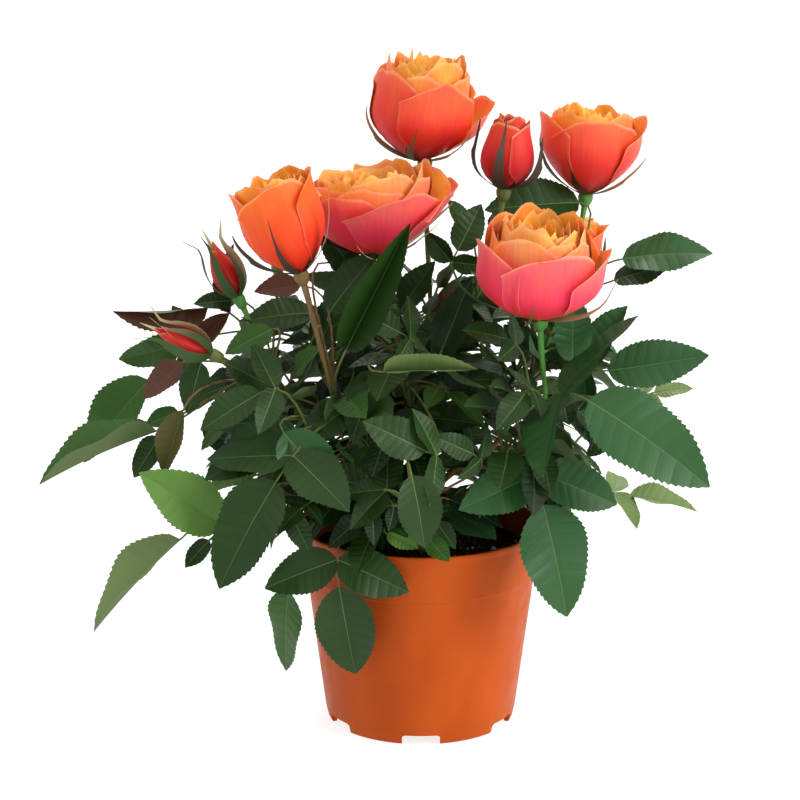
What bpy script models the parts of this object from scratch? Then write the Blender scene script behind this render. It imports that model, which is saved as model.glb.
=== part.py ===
"""Patio rose bush in its 12 cm pot: a closed solid for every limb, mass of foliage and flower.

Run with  blender --background --python part.py  (Blender 4.5, metres, +Z up, the photo's camera at -Y).
Sizes in the tables are millimetres and degrees. The origin is the centre of the pot's underside.
scene.py writes the growth rule, from polar() to the class Plant, again.
"""

import math
import random
from collections import namedtuple

import bmesh
import bpy
from mathutils import Matrix, Vector
from mathutils.bvhtree import BVHTree

MM = 0.001
SEAT_GAP = 0.3  # mm between two pieces that touch on the real plant
SEED = 7

# ---- the pot, its soil and the short stem ---------------------------------------------------
POT_HEIGHT = 102.0
RIM_RADIUS = 60.9
BAND_HEIGHT = 24.0  # the proud band under the rim
BAND_RADIUS = 59.2  # at its lower edge
BAND_STEP = 1.0
WALL = 1.4
BASE_RADIUS = 48.7  # where the wall turns in to the foot
BASE_HEIGHT = 6.0
FOOT_RADIUS = 47.2
FOOT_WIDTH = 2.4
DISC_RADIUS = 28.0  # the flat disc in the middle of the underside
CHANNEL_HEIGHT = 5.6  # the drainage channel round the disc
POT_SIDES = 36
NOTCHES = 6
NOTCH_SIZE = (8.0, 19.0, 10.0)  # through the foot, along it and, half of it, up
SOIL_TOP = 90.0
SOIL_GAP = 0.5
STEM_TOP = 112.0
STEM_SIDES = 14
STEM_FOOT_RADIUS = 12.0
STEM_RADIUS = 9.0
CANE_RING = 5.8  # the circle on the stem's top that the canes stand on

# ---- twigs and leaves -----------------------------------------------------------------------
CANE_RADII = (1.8, 1.5)
SHOOT_RADII = (1.5, 1.1)
TWIG_RADII = (1.1, 1.6)
TWIG_END = 4.5  # mm below a flower's hip
STALK_RADII = (0.9, 0.75)
BLADE_THICKNESS = 0.7
BLADE_WIDTH = 0.62  # of its length
BLADE_FOLD = 0.22  # how far the edges lift, of the half width
BLADE_EDGE = ((0.24, 0.86), (0.64, 0.84), (1.0, 0.0), (0.64, -0.84), (0.24, -0.86))
BLADE_RIB = 0.45  # where the blade is thickest, of its length
PAIR_SPREAD = 68.0
PAIR_SIZES = (0.76, 0.62)  # of the end leaflet
PAIR_STEPS = (0.26, 0.76)  # how far back from the joint, in end leaflets
PAIR_ROOT = 0.9  # mm, half the length of stalk that a leaflet stands on
TEST_MARGIN = 0.35  # mm that a test shape is larger all round
TRIES = 30
VIEWER = -90.0  # the side that the named leaves turn to, as they do to a window
FLOWER_SIDES = 15
SEPALS = 5

# The crown that unnamed leaves stay in: an ellipsoid about its centre.
CROWN_CENTRE = (-4.0, 0.0, 156.0)
CROWN_RADII = (118.0, 116.0, 86.0)

# What keeps leaves out of the filled pot: (radius, height), half a millimetre proud.
POT_KEEP_OUT = (
    (BASE_RADIUS + 0.5, 0),
    (BAND_RADIUS + 0.5, POT_HEIGHT - BAND_HEIGHT),
    (RIM_RADIUS + 0.5, POT_HEIGHT - 1),
    (RIM_RADIUS + 0.5, POT_HEIGHT + 0.5),
    (RIM_RADIUS - 3, POT_HEIGHT + 0.5),
    (RIM_RADIUS - 4, SOIL_TOP + 1),
    (1, SOIL_TOP + 1.5),
)

# Each cane rises from the short stem to a fork, where its shoot goes on to the foot of a flower's
# twig. Places are (azimuth, reach, height). "leaves" is how many unnamed ones the shoot tries for.
Shoot = namedtuple("Shoot", "name fork tip side_tips leaves")
SHOOTS = (
    Shoot("front_right", (-42, 46, 132), (-40, 78, 182), (), 6),
    Shoot("right", (12, 44, 148), (14, 76, 222), (), 7),
    Shoot("back_right", (48, 48, 140), (48, 80, 174), (), 8),
    Shoot("back", (102, 42, 145), (102, 72, 188), (), 8),
    Shoot("back_left", (140, 42, 142), (137, 76, 184), (), 8),
    Shoot("left", (-167, 40, 142), (-166, 78, 190), ((-158, 93, 184),), 6),
    Shoot("front_left", (-143, 30, 138), (-140, 58, 182), (), 6),
    Shoot("front", (-115, 14, 144), (-128, 16, 202), (), 6),
    Shoot("top", (80, 16, 150), (82, 35, 210), ((20, 33, 224),), 8),
)

# A skirt shoot leaves the side of the short stem and arches over the rim.
Skirt = namedtuple("Skirt", "name azimuth reach height leaves")
SKIRTS = (
    Skirt("front", -95, 60, 126, 6),
    Skirt("front_left", -138, 66, 128, 6),
    Skirt("left", -172, 78, 132, 6),
    Skirt("back_left", 142, 76, 128, 8),
    Skirt("back", 92, 74, 128, 8),
    Skirt("back_right", 42, 74, 128, 8),
    Skirt("right", -12, 70, 126, 7),
)

# A compound leaf that the photo shows: the place where its end leaflet starts, where that heads
# and how long it is. "at" is how far along its shoot the stalk leaves.
Leaf = namedtuple("Leaf", "mass at azimuth reach height yaw pitch length leaflets roll")
NAMED_LEAVES = (
    Leaf("foliage_front_right", 0.92, -43, 108, 185, -23, -26, 70, 3, 0),
    Leaf("foliage_front_right", 0.60, -47, 86, 130, -33, -72, 57, 3, 0),
    Leaf("foliage_front_left", 0.60, -132, 104, 146, -154, -54, 58, 3, 10),
    Leaf("foliage_right", 0.92, 8, 112, 235, -8, 3, 36, 1, -12),
    Leaf("foliage_right", 0.86, 9, 98, 224, -8, 22, 29, 1, -20),
    Leaf("foliage_right", 0.55, -11, 97, 187, -8, 9, 50, 3, -12),
    Leaf("foliage_right", 0.30, -17, 86, 187, -86, 82, 35, 1, 0),
    Leaf("foliage_right", 0.80, 31, 58, 256, -19, 38, 26, 3, 0),
    Leaf("skirt_right", 0.92, 3, 106, 114, -8, -4, 35, 3, -30),
    Leaf("skirt_right", 0.90, 9, 120, 165, 0, 11, 20, 3, -20),
    Leaf("foliage_left", 0.85, -167, 134, 167, -168, -20, 60, 1, 0),
    Leaf("foliage_left", 0.70, -177, 129, 190, -166, -40, 54, 1, 0),
    Leaf("foliage_left", 0.92, -179, 106, 209, -173, -5, 47, 3, -52),
    Leaf("foliage_left", 0.75, -158, 125, 173, -160, -70, 34, 1, 0),
    Leaf("foliage_back_left", 0.92, 174, 122, 192, 180, -18, 32, 3, -30),
    Leaf("skirt_left", 0.85, -159, 127, 107, -165, -40, 62, 1, 34),
    Leaf("skirt_left", 0.60, -153, 110, 116, -154, 38, 50, 1, 0),
    Leaf("skirt_front_left", 0.92, -143, 97, 185, -164, -27, 34, 3, 0),
    Leaf("skirt_front_left", 0.80, -141, 84, 83, 154, -82, 44, 1, 30),
    Leaf("skirt_front_left", 0.70, -122, 76, 89, 28, -80, 50, 3, 0),
    Leaf("foliage_front_left", 0.90, -122, 72, 207, -26, 62, 62, 1, 0),
    Leaf("foliage_front", 0.55, -89, 85, 163, -170, 31, 33, 3, 0),
    Leaf("foliage_front", 0.90, -104, 76, 199, -13, 6, 45, 1, 0),
    Leaf("foliage_front", 0.80, -100, 58, 214, -175, 30, 27, 3, 0),
    Leaf("skirt_front", 0.92, -93, 93, 151, -19, -71, 37, 1, 0),
    Leaf("skirt_front", 0.60, -72, 74, 156, -165, 28, 22, 3, 0),
    Leaf("foliage_top", 0.90, 5, 18, 242, 20, 60, 26, 3, 0),
    Leaf("foliage_top", 0.70, -72, 32, 199, -33, 66, 40, 3, 0),
    Leaf("foliage_front_right", 0.80, -46, 55, 204, -165, 21, 24, 3, 0),
)

# A flower: the place of its hip, the way it leans (toward an azimuth, by a tilt) and its size.
Flower = namedtuple("Flower", "name mass tip hip toward tilt width height kind")
FLOWERS = (
    Flower("bloom_top", "foliage_top", 0, (87, 40, 280), 85, 6, 54, 51, "full"),
    Flower("bloom_right", "foliage_right", 0, (21, 89, 264), 20, 5, 50, 46, "cup"),
    Flower("bud_half_open", "foliage_top", 1, (5, 41, 272), 0, 6, 27, 38, "half"),
    Flower("bloom_centre", "foliage_front", 0, (-164, 20, 245), -95, 14, 66, 39, "wide"),
    Flower("bloom_left", "foliage_front_left", 0, (-137, 79, 242), 180, 16, 46, 48, "cup"),
    Flower("bloom_front_right", "foliage_front_right", 0, (-44, 79, 220), -80, 10, 60, 50, "full"),
    Flower("bloom_back", "foliage_back", 0, (101, 96, 230), 100, 14, 52, 38, "full"),
    Flower("bloom_back_right", "foliage_back_right", 0, (49, 103, 208), 48, 14, 50, 40, "cup"),
    Flower("bud_back_left", "foliage_back_left", 0, (137, 102, 220), 136, 14, 17, 26, "bud"),
    Flower("bud_left_upper", "foliage_left", 0, (-167, 92, 223), 180, 26, 17, 33, "bud"),
    Flower("bud_left_lower", "foliage_left", 1, (-157, 110, 200), -168, 63, 16, 33, "bud"),
)
FLARE = {"full": 1.0, "cup": 0.94, "wide": 1.06, "half": 0.80}  # of a bloom's rim
SEPAL_RISE = {"full": (-14, 12), "cup": (-14, 12), "wide": (-26, -6), "half": (-14, 12), "bud": (42, 52)}
SEPAL_LENGTH = 24.0


# ==== the growth rule ========================================================================


def polar(azimuth, reach, height):
    """The point, in metres, that lies so many degrees round the pot, and so far out and up."""
    turn = math.radians(azimuth)
    return Vector((reach * math.cos(turn), reach * math.sin(turn), height)) * MM


def heading(azimuth, pitch):
    turn, rise = math.radians(azimuth), math.radians(pitch)
    level = math.cos(rise)
    return Vector((math.cos(turn) * level, math.sin(turn) * level, math.sin(rise)))


def blend(pair, t):
    return pair[0] + (pair[1] - pair[0]) * t


class Path:
    """A smooth curve from one point and direction to another."""

    def __init__(self, start, leaving, end, arriving):
        self.span = (end - start).length
        self.ends = (start, leaving * self.span, end, arriving * self.span)

    def point(self, t):
        start, leaving, end, arriving = self.ends
        return (
            start * (2 * t**3 - 3 * t**2 + 1)
            + leaving * (t**3 - 2 * t**2 + t)
            + end * (3 * t**2 - 2 * t**3)
            + arriving * (t**3 - t**2)
        )

    def along(self, t):
        start, leaving, end, arriving = self.ends
        slope = (
            (start - end) * (6 * t**2 - 6 * t)
            + leaving * (3 * t**2 - 4 * t + 1)
            + arriving * (3 * t**2 - 2 * t)
        )
        return slope.normalized()


def frames(path, stops, end_side):
    """(point, side, up) at each stop along the path, carried back from its end without a twist."""
    found = []
    side = end_side
    for t in reversed(stops):
        along = path.along(t)
        side = (side - along * side.dot(along)).normalized()
        found.append((path.point(t), side, side.cross(along)))
    return found[::-1]


def ring(frame, radius, sides):
    centre, side, up = frame
    turns = [2 * math.pi * j / sides for j in range(sides)]
    return [centre + (side * math.cos(turn) - up * math.sin(turn)) * radius for turn in turns]


def bands(first, rings, sides):
    """The faces that join rings of points, the first of which starts at an index."""
    faces = []
    for i in range(rings - 1):
        a = first + i * sides
        for j in range(sides):
            k = (j + 1) % sides
            faces.append((a + j, a + k, a + sides + k, a + sides + j))
    return faces


def tube(path, radii, sides, steps, grow=0.0):
    """(points, faces) of a closed tube that tapers along the path, with flat ends square to it."""
    stops = [i / steps for i in range(steps + 1)]
    points = []
    for t, frame in zip(stops, frames(path, stops, path.along(1).cross(Vector((0.3, 0.2, 1))))):
        points += ring(frame, (blend(radii, t) + grow) * MM, sides)
    faces = bands(0, steps + 1, sides)
    faces += [tuple(reversed(range(sides))), tuple(range(steps * sides, (steps + 1) * sides))]
    return points, faces


def lathe(profile, sides):
    """(points, faces) of a turned shape from (radius, height) in mm, with a flat top and bottom."""
    points = []
    for radius, height in profile:
        points += [polar(360 * j / sides, radius, height) for j in range(sides)]
    faces = bands(0, len(profile), sides)
    faces += [tuple(reversed(range(sides))), tuple(range(len(points) - sides, len(points)))]
    return points, faces


class Blade:
    """One leaflet: its base, its heading and the way its upper face looks."""

    def __init__(self, base, along, normal, length, droop):
        self.base, self.along, self.length, self.droop = base, along, length * MM, droop
        self.normal = (normal - along * normal.dot(along)).normalized()
        self.side = along.cross(self.normal)
        self.width = self.length * BLADE_WIDTH

    def point(self, u, v, lift=0.0):
        """u runs from base to tip, v from edge to edge (-1 to 1), lift is in mm."""
        rise = BLADE_FOLD * abs(v) * self.width / 2 - self.droop * self.length * u * u + lift * MM
        across = self.side * (self.width / 2 * v)
        return self.base + self.along * (self.length * u) + across + self.normal * rise

    def corners(self, grow):
        """Five points round the edge, then the rib's upper and lower one."""
        half = BLADE_THICKNESS / 2 + grow
        spread = 1 + 2 * grow * MM / self.width
        points = [self.point(u, v * spread) for u, v in BLADE_EDGE]
        points[2] += self.along * grow * MM
        return points + [self.point(BLADE_RIB, 0, half), self.point(BLADE_RIB, 0, -half)]

    def shell(self):
        """(points, faces) of the leaflet alone, from four points round its base."""
        points = [self.point(0, v, lift) for lift in (0.3, -0.3) for v in (0.05, -0.05)]
        faces = []
        add_blade(points, faces, self, 0, (0, 1, 2, 3))
        return points, faces


def add_blade(points, faces, blade, grow, root):
    """Grows a leaflet out of four points already there: upper and lower, on its plus and minus side."""
    upper_plus, upper_minus, lower_plus, lower_minus = root
    first = len(points)
    points += blade.corners(grow)
    edge = list(range(first, first + 5))
    for minus, plus, rib in ((upper_minus, upper_plus, first + 5), (lower_minus, lower_plus, first + 6)):
        loop = list(dict.fromkeys((minus, plus))) + edge
        faces += [(loop[i], loop[(i + 1) % len(loop)], rib) for i in range(len(loop))]
    faces += [(upper_plus, lower_plus, edge[0]), (upper_minus, lower_minus, edge[-1])]


class Spray:
    """A compound leaf: a stalk, an end leaflet and pairs of leaflets set back along the stalk."""

    def __init__(self, root, leaving, joint, along, normal, length, leaflets):
        self.stalk = Path(root, leaving, joint, along)
        self.end = Blade(joint, along, normal, length, 0.10)
        self.pairs = []  # from the joint back: (t, left blade, right blade)
        for size, step in list(zip(PAIR_SIZES, PAIR_STEPS))[: (leaflets - 1) // 2]:
            t = 1 - step * length * MM / self.stalk.span
            if t < 0.3:
                break
            there = self.stalk.along(t)
            up = (normal - there * normal.dot(there)).normalized()
            blades = []
            for hand in (1, -1):
                turned = Matrix.Rotation(math.radians(PAIR_SPREAD) * hand, 3, up) @ there
                blades.append(Blade(self.stalk.point(t), turned, up, length * size, 0.08))
            self.pairs.append((t, *blades))

    def blades(self):
        return [self.end] + [blade for pair in self.pairs for blade in pair[1:]]

    def crosses_itself(self):
        """Whether the end leaflet touches one of the pairs."""
        trees = [BVHTree.FromPolygons(*blade.shell()) for blade in self.blades()]
        return any(trees[0].overlap(tree) for tree in trees[1:])

    def solid(self, start=0.0, grow=0.0):
        """One closed surface: a three-sided stalk, with each leaflet grown out of its wall or end."""
        nearest = self.pairs[-1][0] if self.pairs else 1.0
        stops = [start, (start + nearest) / 2]
        holds = {}  # which gap between two rings a pair grows from
        half = PAIR_ROOT * MM / self.stalk.span
        for t, left, right in reversed(self.pairs):
            holds[len(stops)] = (left, right)
            stops += [t - half, t + half]
        stops.append(1.0)
        points, faces = [], [(0, 1, 2)]
        for t, (centre, side, up) in zip(stops, frames(self.stalk, stops, self.end.side)):
            radius = (blend(STALK_RADII, t) + grow) * MM
            wide, high = side * radius * math.sqrt(0.75), up * radius / 2
            points += [centre - wide + high, centre + wide + high, centre - up * radius]
        for i in range(len(stops) - 1):
            left, right, low = 3 * i, 3 * i + 1, 3 * i + 2
            faces.append((left, left + 3, right + 3, right))
            if i in holds:
                add_blade(points, faces, holds[i][0], grow, (left + 3, left, low + 3, low))
                add_blade(points, faces, holds[i][1], grow, (right, right + 3, low, low + 3))
            else:
                faces.append((low, low + 3, left + 3, left))
                faces.append((right, right + 3, low + 3, low))
        last = 3 * (len(stops) - 1)
        add_blade(points, faces, self.end, grow, (last + 1, last, last + 2, last + 2))
        return points, faces


def flower_place(flower):
    """The matrix that stands a flower, made upright at the origin, on its hip."""
    axis = heading(flower.toward, 90 - flower.tilt)
    turn = Vector((0, 0, 1)).rotation_difference(axis).to_matrix().to_4x4()
    return Matrix.Translation(polar(*flower.hip)) @ turn


def flower_profile(flower):
    """(radius, height, depth of the petal lobes) from the hip up the outside and down inside."""
    wide, tall = flower.width / 2, flower.height
    if flower.kind == "bud":
        return [
            (3.2, -0.5, 0),
            (3.2, 2.5, 0),
            (wide * 0.85, tall * 0.35, 0),
            (wide * 0.7, tall * 0.65, 0),
            (0.8, tall, 0),
        ]
    rim = wide * FLARE[flower.kind]
    return [
        (4.4, -0.5, 0),
        (4.0, 2.5, 0),
        (wide * 0.66, tall * 0.18, 0.02),
        (wide * 0.98, tall * 0.46, 0.05),
        (rim, tall * 0.76, 0.07),
        (rim * 0.80, tall * 0.95, 0.06),
        (wide * 0.52, tall * 1.0, 0.06),
        (wide * 0.26, tall * 0.88, 0),
    ]


def add_sepal(points, faces, flower, place, azimuth, rng, root):
    """Grows a sepal out of four points of the hip's wall: lower a and b, then upper a and b."""
    low_a, low_b, high_a, high_b = root
    rise = rng.uniform(*SEPAL_RISE[flower.kind])
    length = flower.height * 1.1 if flower.kind == "bud" else SEPAL_LENGTH
    turn = math.radians(azimuth)
    out, side = Vector((math.cos(turn), math.sin(turn), 0)), Vector((-math.sin(turn), math.cos(turn), 0))

    def middle(u, bend):
        way = math.radians(rise + bend)
        return out * (3 + length * u * math.cos(way)) + Vector((0, 0, 1 + length * u * math.sin(way)))

    broad = middle(0.4, 0)
    first = len(points)
    for point in (broad - side * 3.2, broad + side * 3.2, broad + Vector((0, 0, 1.0)), middle(1, 15)):
        points.append(place @ (point * MM))
    a, b, ridge, tip = range(first, first + 4)
    faces += [(low_a, low_b, b, a), (low_b, high_b, b), (high_b, high_a, ridge), (high_b, ridge, b)]
    faces += [(high_a, a, ridge), (high_a, low_a, a), (a, b, tip), (b, ridge, tip), (ridge, a, tip)]


def flower_solid(flower, twig):
    """One closed surface: the twig, the hip with its sepals, and the bloom's cup or the bud."""
    place = flower_place(flower)
    rng = random.Random(f"{SEED} {flower.name}")
    stops = [0, 0.33, 0.66, 1 - TWIG_END * MM / twig.span]
    points = []
    for t, frame in zip(stops, frames(twig, stops, place.to_3x3() @ Vector((1, 0, 0)))):
        points += ring(frame, blend(TWIG_RADII, t) * MM, SEPALS)
    faces = [tuple(reversed(range(SEPALS))), *bands(0, len(stops), SEPALS)]
    neck, first = len(points) - SEPALS, len(points)
    profile = flower_profile(flower)
    lobe_turn = rng.uniform(0, 6)
    for radius, height, lobe in profile:
        for j in range(FLOWER_SIDES):
            swell = 1 + lobe * math.cos(SEPALS * 2 * math.pi * j / FLOWER_SIDES + lobe_turn)
            points.append(place @ polar(360 * j / FLOWER_SIDES, radius * swell, height * (2 + swell) / 3))
    for j in range(SEPALS):
        a, b = neck + j, neck + (j + 1) % SEPALS
        out = [first + (3 * j + k) % FLOWER_SIDES for k in range(4)]
        faces += [(a, out[1], out[0]), (a, b, out[2], out[1]), (b, out[3], out[2])]
    hip_walls = [3 * j + 1 for j in range(SEPALS)]
    faces += [face for j, face in enumerate(bands(first, len(profile), FLOWER_SIDES)) if j not in hip_walls]
    faces.append(tuple(range(len(points) - FLOWER_SIDES, len(points))))
    for j in hip_walls:
        root = (first + j, first + j + 1, first + j + FLOWER_SIDES, first + j + 1 + FLOWER_SIDES)
        add_sepal(points, faces, flower, place, 360 * (j + 0.5) / FLOWER_SIDES, rng, root)
    return points, faces


class Space:
    """Everything placed so far. A new piece goes in only where it touches none of it."""

    def __init__(self):
        self.held = []

    def wrap(self, shape):
        points, faces = shape
        low = [min(point[i] for point in points) for i in range(3)]
        high = [max(point[i] for point in points) for i in range(3)]
        return BVHTree.FromPolygons(points, faces), low, high

    def hold(self, shape, owner=None):
        self.held.append((*self.wrap(shape), owner))

    def is_clear(self, shape, but="nothing"):
        """Whether the shape touches nothing held, other than what one owner holds."""
        tree, low, high = self.wrap(shape)
        for other, other_low, other_high, owner in self.held:
            if owner == but or any(low[i] > other_high[i] or high[i] < other_low[i] for i in range(3)):
                continue
            if tree.overlap(other):
                return False
        return True


def in_crown(point):
    return sum(((point[i] / MM - CROWN_CENTRE[i]) / CROWN_RADII[i]) ** 2 for i in range(3)) < 1


class Plant:
    """Works out every limb, twig and compound leaf, in the order in which they claim space."""

    def __init__(self):
        self.space = Space()
        self.canes, self.stems, self.twigs, self.sprays, self.skipped = {}, {}, {}, {}, []
        self.space.hold(lathe(POT_KEEP_OUT, 24))
        self.place_shoots()
        self.place_skirts()
        for mass, paths in self.stems.items():
            self.sprays[mass] = []
            for path in paths:
                self.space.hold(tube(path, SHOOT_RADII, 3, 6, TEST_MARGIN), mass)
        for flower in FLOWERS:
            self.place_twig(flower)
        self.place_leaves()

    def place_shoots(self):
        """The canes stand on the short stem in a ring, and the last one in its middle."""
        spacing = 360 / (len(SHOOTS) - 1)
        for i, shoot in enumerate(SHOOTS):
            ring_radius = CANE_RING if i < len(SHOOTS) - 1 else 0
            foot = polar((i - 1) * spacing, ring_radius, STEM_TOP + SEAT_GAP)
            fork, tip = polar(*shoot.fork), polar(*shoot.tip)
            leaving = (tip - fork).normalized()
            cane = Path(foot, Vector((0, 0, 1)), fork, leaving)
            self.canes["cane_" + shoot.name] = cane
            self.space.hold(tube(cane, CANE_RADII, 6, 6, TEST_MARGIN))
            mass = "foliage_" + shoot.name
            hips = [polar(*flower.hip) for flower in FLOWERS if flower.mass == mass]
            main = Path(fork + leaving * SEAT_GAP * MM, leaving, tip, (hips[0] - tip).normalized())
            self.stems[mass] = [main]
            for side_tip, hip in zip(shoot.side_tips, hips[1:]):
                end = polar(*side_tip)
                side = Path(main.point(0.55), main.along(0.55), end, (hip - end).normalized())
                self.stems[mass].append(side)

    def place_skirts(self):
        """Each skirt shoot starts square to a flat side of the short stem."""
        facet = 360 / STEM_SIDES
        flat = STEM_RADIUS * math.cos(math.pi / STEM_SIDES)
        for skirt in SKIRTS:
            azimuth = (round(skirt.azimuth / facet - 0.5) + 0.5) * facet
            start = polar(azimuth, flat + SEAT_GAP, STEM_TOP - 6)
            tip = polar(skirt.azimuth, skirt.reach, skirt.height)
            path = Path(start, heading(azimuth, 0), tip, heading(skirt.azimuth, 0))
            self.stems["skirt_" + skirt.name] = [path]

    def place_twig(self, flower):
        path = self.stems[flower.mass][flower.tip]
        foot = path.point(1) + path.along(1) * SEAT_GAP * MM
        place = flower_place(flower)
        twig = Path(foot, path.along(1), place.translation, place.to_3x3() @ Vector((0, 0, 1)))
        self.twigs[flower.name] = twig
        self.space.hold(flower_solid(flower, twig))

    def place_leaves(self):
        """The leaves that the photo shows come first, then the unnamed ones, one a shoot in turn."""
        wanted = {"foliage_" + shoot.name: shoot.leaves for shoot in SHOOTS}
        wanted.update({"skirt_" + skirt.name: skirt.leaves for skirt in SKIRTS})
        for number, leaf in enumerate(NAMED_LEAVES):
            if not self.grow_named(leaf, random.Random(SEED * 1000 + number)):
                self.skipped.append(number)
        for turn in range(max(wanted.values())):
            for mass, count in wanted.items():
                if turn < count:
                    self.grow_unnamed(mass, turn, count)

    def grow_named(self, leaf, rng):
        """Tries the leaf at its place, then a little further and further from it."""
        paths = self.stems[leaf.mass]
        for attempt in range(TRIES):
            loose = attempt * 0.5
            root = paths[attempt % len(paths)].point(leaf.at - 0.02 * attempt)
            joint = polar(leaf.azimuth, leaf.reach, leaf.height)
            joint += Vector([rng.uniform(-loose, loose) for _ in range(3)]) * MM
            yaw = leaf.yaw + rng.uniform(-loose, loose) * 1.5
            along = heading(yaw, leaf.pitch + rng.uniform(-loose, loose) * 1.5)
            outward = Vector((joint.x, joint.y, 0)).normalized()
            face = Vector((0, 0, 0.6)) + outward * 0.25 + heading(VIEWER, 0) * 0.7
            roll = leaf.roll + rng.uniform(-loose, loose) * 3
            if self.try_spray(leaf.mass, root, joint, along, face, roll, leaf.length, leaf.leaflets):
                return True
        return False

    def grow_unnamed(self, mass, turn, count):
        rng = random.Random(f"{SEED} {mass} {turn}")
        path = self.stems[mass][0]
        low = mass.startswith("skirt")
        end = path.point(1)
        outward = math.degrees(math.atan2(end.y, end.x))
        for attempt in range(TRIES):
            t = (turn + 0.7 + rng.uniform(-0.4, 0.4)) / count
            root = path.point(min(0.92, max(0.25 if low else 0.08, t)))
            azimuth = outward + (turn * 137.5 % 220) - 110 + rng.uniform(-45, 45)
            pitch = rng.uniform(-25, 25) if low else rng.uniform(-15, 50)
            stalk = rng.uniform(16, 34) * (1 - 0.015 * attempt)
            length = rng.uniform(30, 44) * (1 - 0.02 * attempt)
            joint = root + heading(azimuth, pitch + 12) * stalk * MM
            along = heading(azimuth, pitch - rng.uniform(10, 45))
            face = Vector((0, 0, 0.8)) + Vector((joint.x, joint.y, 0)).normalized() * 0.6
            leaflets = 5 if stalk > 26 else 3
            if self.try_spray(mass, root, joint, along, face, rng.uniform(-20, 20), length, leaflets, True):
                return

    def try_spray(self, mass, root, joint, along, face, roll, length, leaflets, inside=False):
        normal = (face - along * face.dot(along)).normalized()
        normal = Matrix.Rotation(math.radians(roll), 3, along) @ normal
        leaving = (joint - root).normalized() * 0.8 + Vector((0, 0, 0.5))
        spray = Spray(root, leaving.normalized(), joint, along, normal, length, leaflets)
        if inside and not all(in_crown(blade.point(1, 0)) for blade in spray.blades()):
            return False
        body = spray.solid(0.4, TEST_MARGIN)
        root_end = tube(spray.stalk, STALK_RADII, 3, 6, TEST_MARGIN)
        if not (self.space.is_clear(body) and self.space.is_clear(root_end, but=mass)):
            return False
        if spray.crosses_itself():
            return False
        self.space.hold(body)
        self.space.hold(root_end, mass)
        self.sprays[mass].append(spray)
        return True


# ==== the solids =============================================================================


def clear_scene():
    for old in list(bpy.data.objects):
        bpy.data.objects.remove(old, do_unlink=True)


def material(name, colour, roughness, metallic=0.0):
    made = bpy.data.materials.new(name)
    made.use_nodes = True
    shader = made.node_tree.nodes["Principled BSDF"]
    shader.inputs["Base Color"].default_value = (*colour, 1)
    shader.inputs["Roughness"].default_value = roughness
    shader.inputs["Metallic"].default_value = metallic
    made.diffuse_color = (*colour, 1)
    return made


def mesh_object(name, shape, look, collection):
    points, faces = shape
    mesh = bpy.data.meshes.new(name)
    mesh.from_pydata([tuple(point) for point in points], [], faces)
    build = bmesh.new()
    build.from_mesh(mesh)
    bmesh.ops.recalc_face_normals(build, faces=build.faces)
    bmesh.ops.triangulate(build, faces=build.faces)
    build.to_mesh(mesh)
    build.free()
    mesh.materials.append(look)
    made = bpy.data.objects.new(name, mesh)
    collection.objects.link(made)
    return made


def fused(name, shapes, look, home):
    """One closed solid from shapes that overlap: a union of the first with a collection of the rest."""
    pieces = bpy.data.collections.new(name + "_pieces")
    bpy.context.scene.collection.children.link(pieces)
    for shape in shapes[1:]:
        mesh_object(name + "_piece", shape, look, pieces)
    target = mesh_object(name, shapes[0], look, home)
    union = target.modifiers.new("union", "BOOLEAN")
    union.operation = "UNION"
    union.operand_type = "COLLECTION"
    union.collection = pieces
    union.solver = "MANIFOLD"
    settle(target)
    for piece in list(pieces.objects):
        bpy.data.objects.remove(piece, do_unlink=True)
    bpy.data.collections.remove(pieces)
    return target


def settle(target):
    """Applies the object's modifiers and keeps only its largest body, so no hollow or scrap is left."""
    bpy.context.view_layer.update()
    graph = bpy.context.evaluated_depsgraph_get()
    mesh = bpy.data.meshes.new_from_object(target.evaluated_get(graph))
    target.modifiers.clear()
    target.data = mesh
    build = bmesh.new()
    build.from_mesh(mesh)
    bmesh.ops.triangulate(build, faces=build.faces)
    for body in sorted(islands(build), key=len)[:-1]:
        scrap = {vertex for face in body for vertex in face.verts}
        bmesh.ops.delete(build, geom=list(scrap), context="VERTS")
    build.to_mesh(mesh)
    build.free()


def islands(build):
    """The faces of each separate body."""
    left = set(build.faces)
    found = []
    while left:
        body, queue = set(), [left.pop()]
        while queue:
            face = queue.pop()
            body.add(face)
            near = {other for edge in face.edges for other in edge.link_faces} & left
            left -= near
            queue += near
        found.append(body)
    return found


def wall_radius(height):
    """The outside of the pot's wall below the band, at a height."""
    slope = (BAND_RADIUS - BAND_STEP - BASE_RADIUS) / (POT_HEIGHT - BAND_HEIGHT - BASE_HEIGHT)
    return BASE_RADIUS + slope * (height - BASE_HEIGHT)


def pot_profile():
    """The pot's section: up its inside from the middle, over the rim, down and under to the middle."""
    band = POT_HEIGHT - BAND_HEIGHT
    floor, deck = 1.8, CHANNEL_HEIGHT + 1.8
    inside = [
        (0, floor),
        (DISC_RADIUS - 2, floor),
        (DISC_RADIUS + 0.5, deck),
        (wall_radius(deck) - WALL, deck),
        (wall_radius(band) - WALL, band),
        (RIM_RADIUS - WALL - 0.4, POT_HEIGHT),
    ]
    outside = [
        (RIM_RADIUS - 0.3, POT_HEIGHT),
        (RIM_RADIUS, POT_HEIGHT - 0.8),
        (BAND_RADIUS, band + 0.6),
        (wall_radius(band), band - 0.4),
        (BASE_RADIUS, BASE_HEIGHT),
        (FOOT_RADIUS, 0),
        (FOOT_RADIUS - FOOT_WIDTH, 0),
        (FOOT_RADIUS - FOOT_WIDTH - 0.2, CHANNEL_HEIGHT),
        (DISC_RADIUS + 2.5, CHANNEL_HEIGHT),
        (DISC_RADIUS, 0),
        (0, 0),
    ]
    return inside, outside


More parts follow.
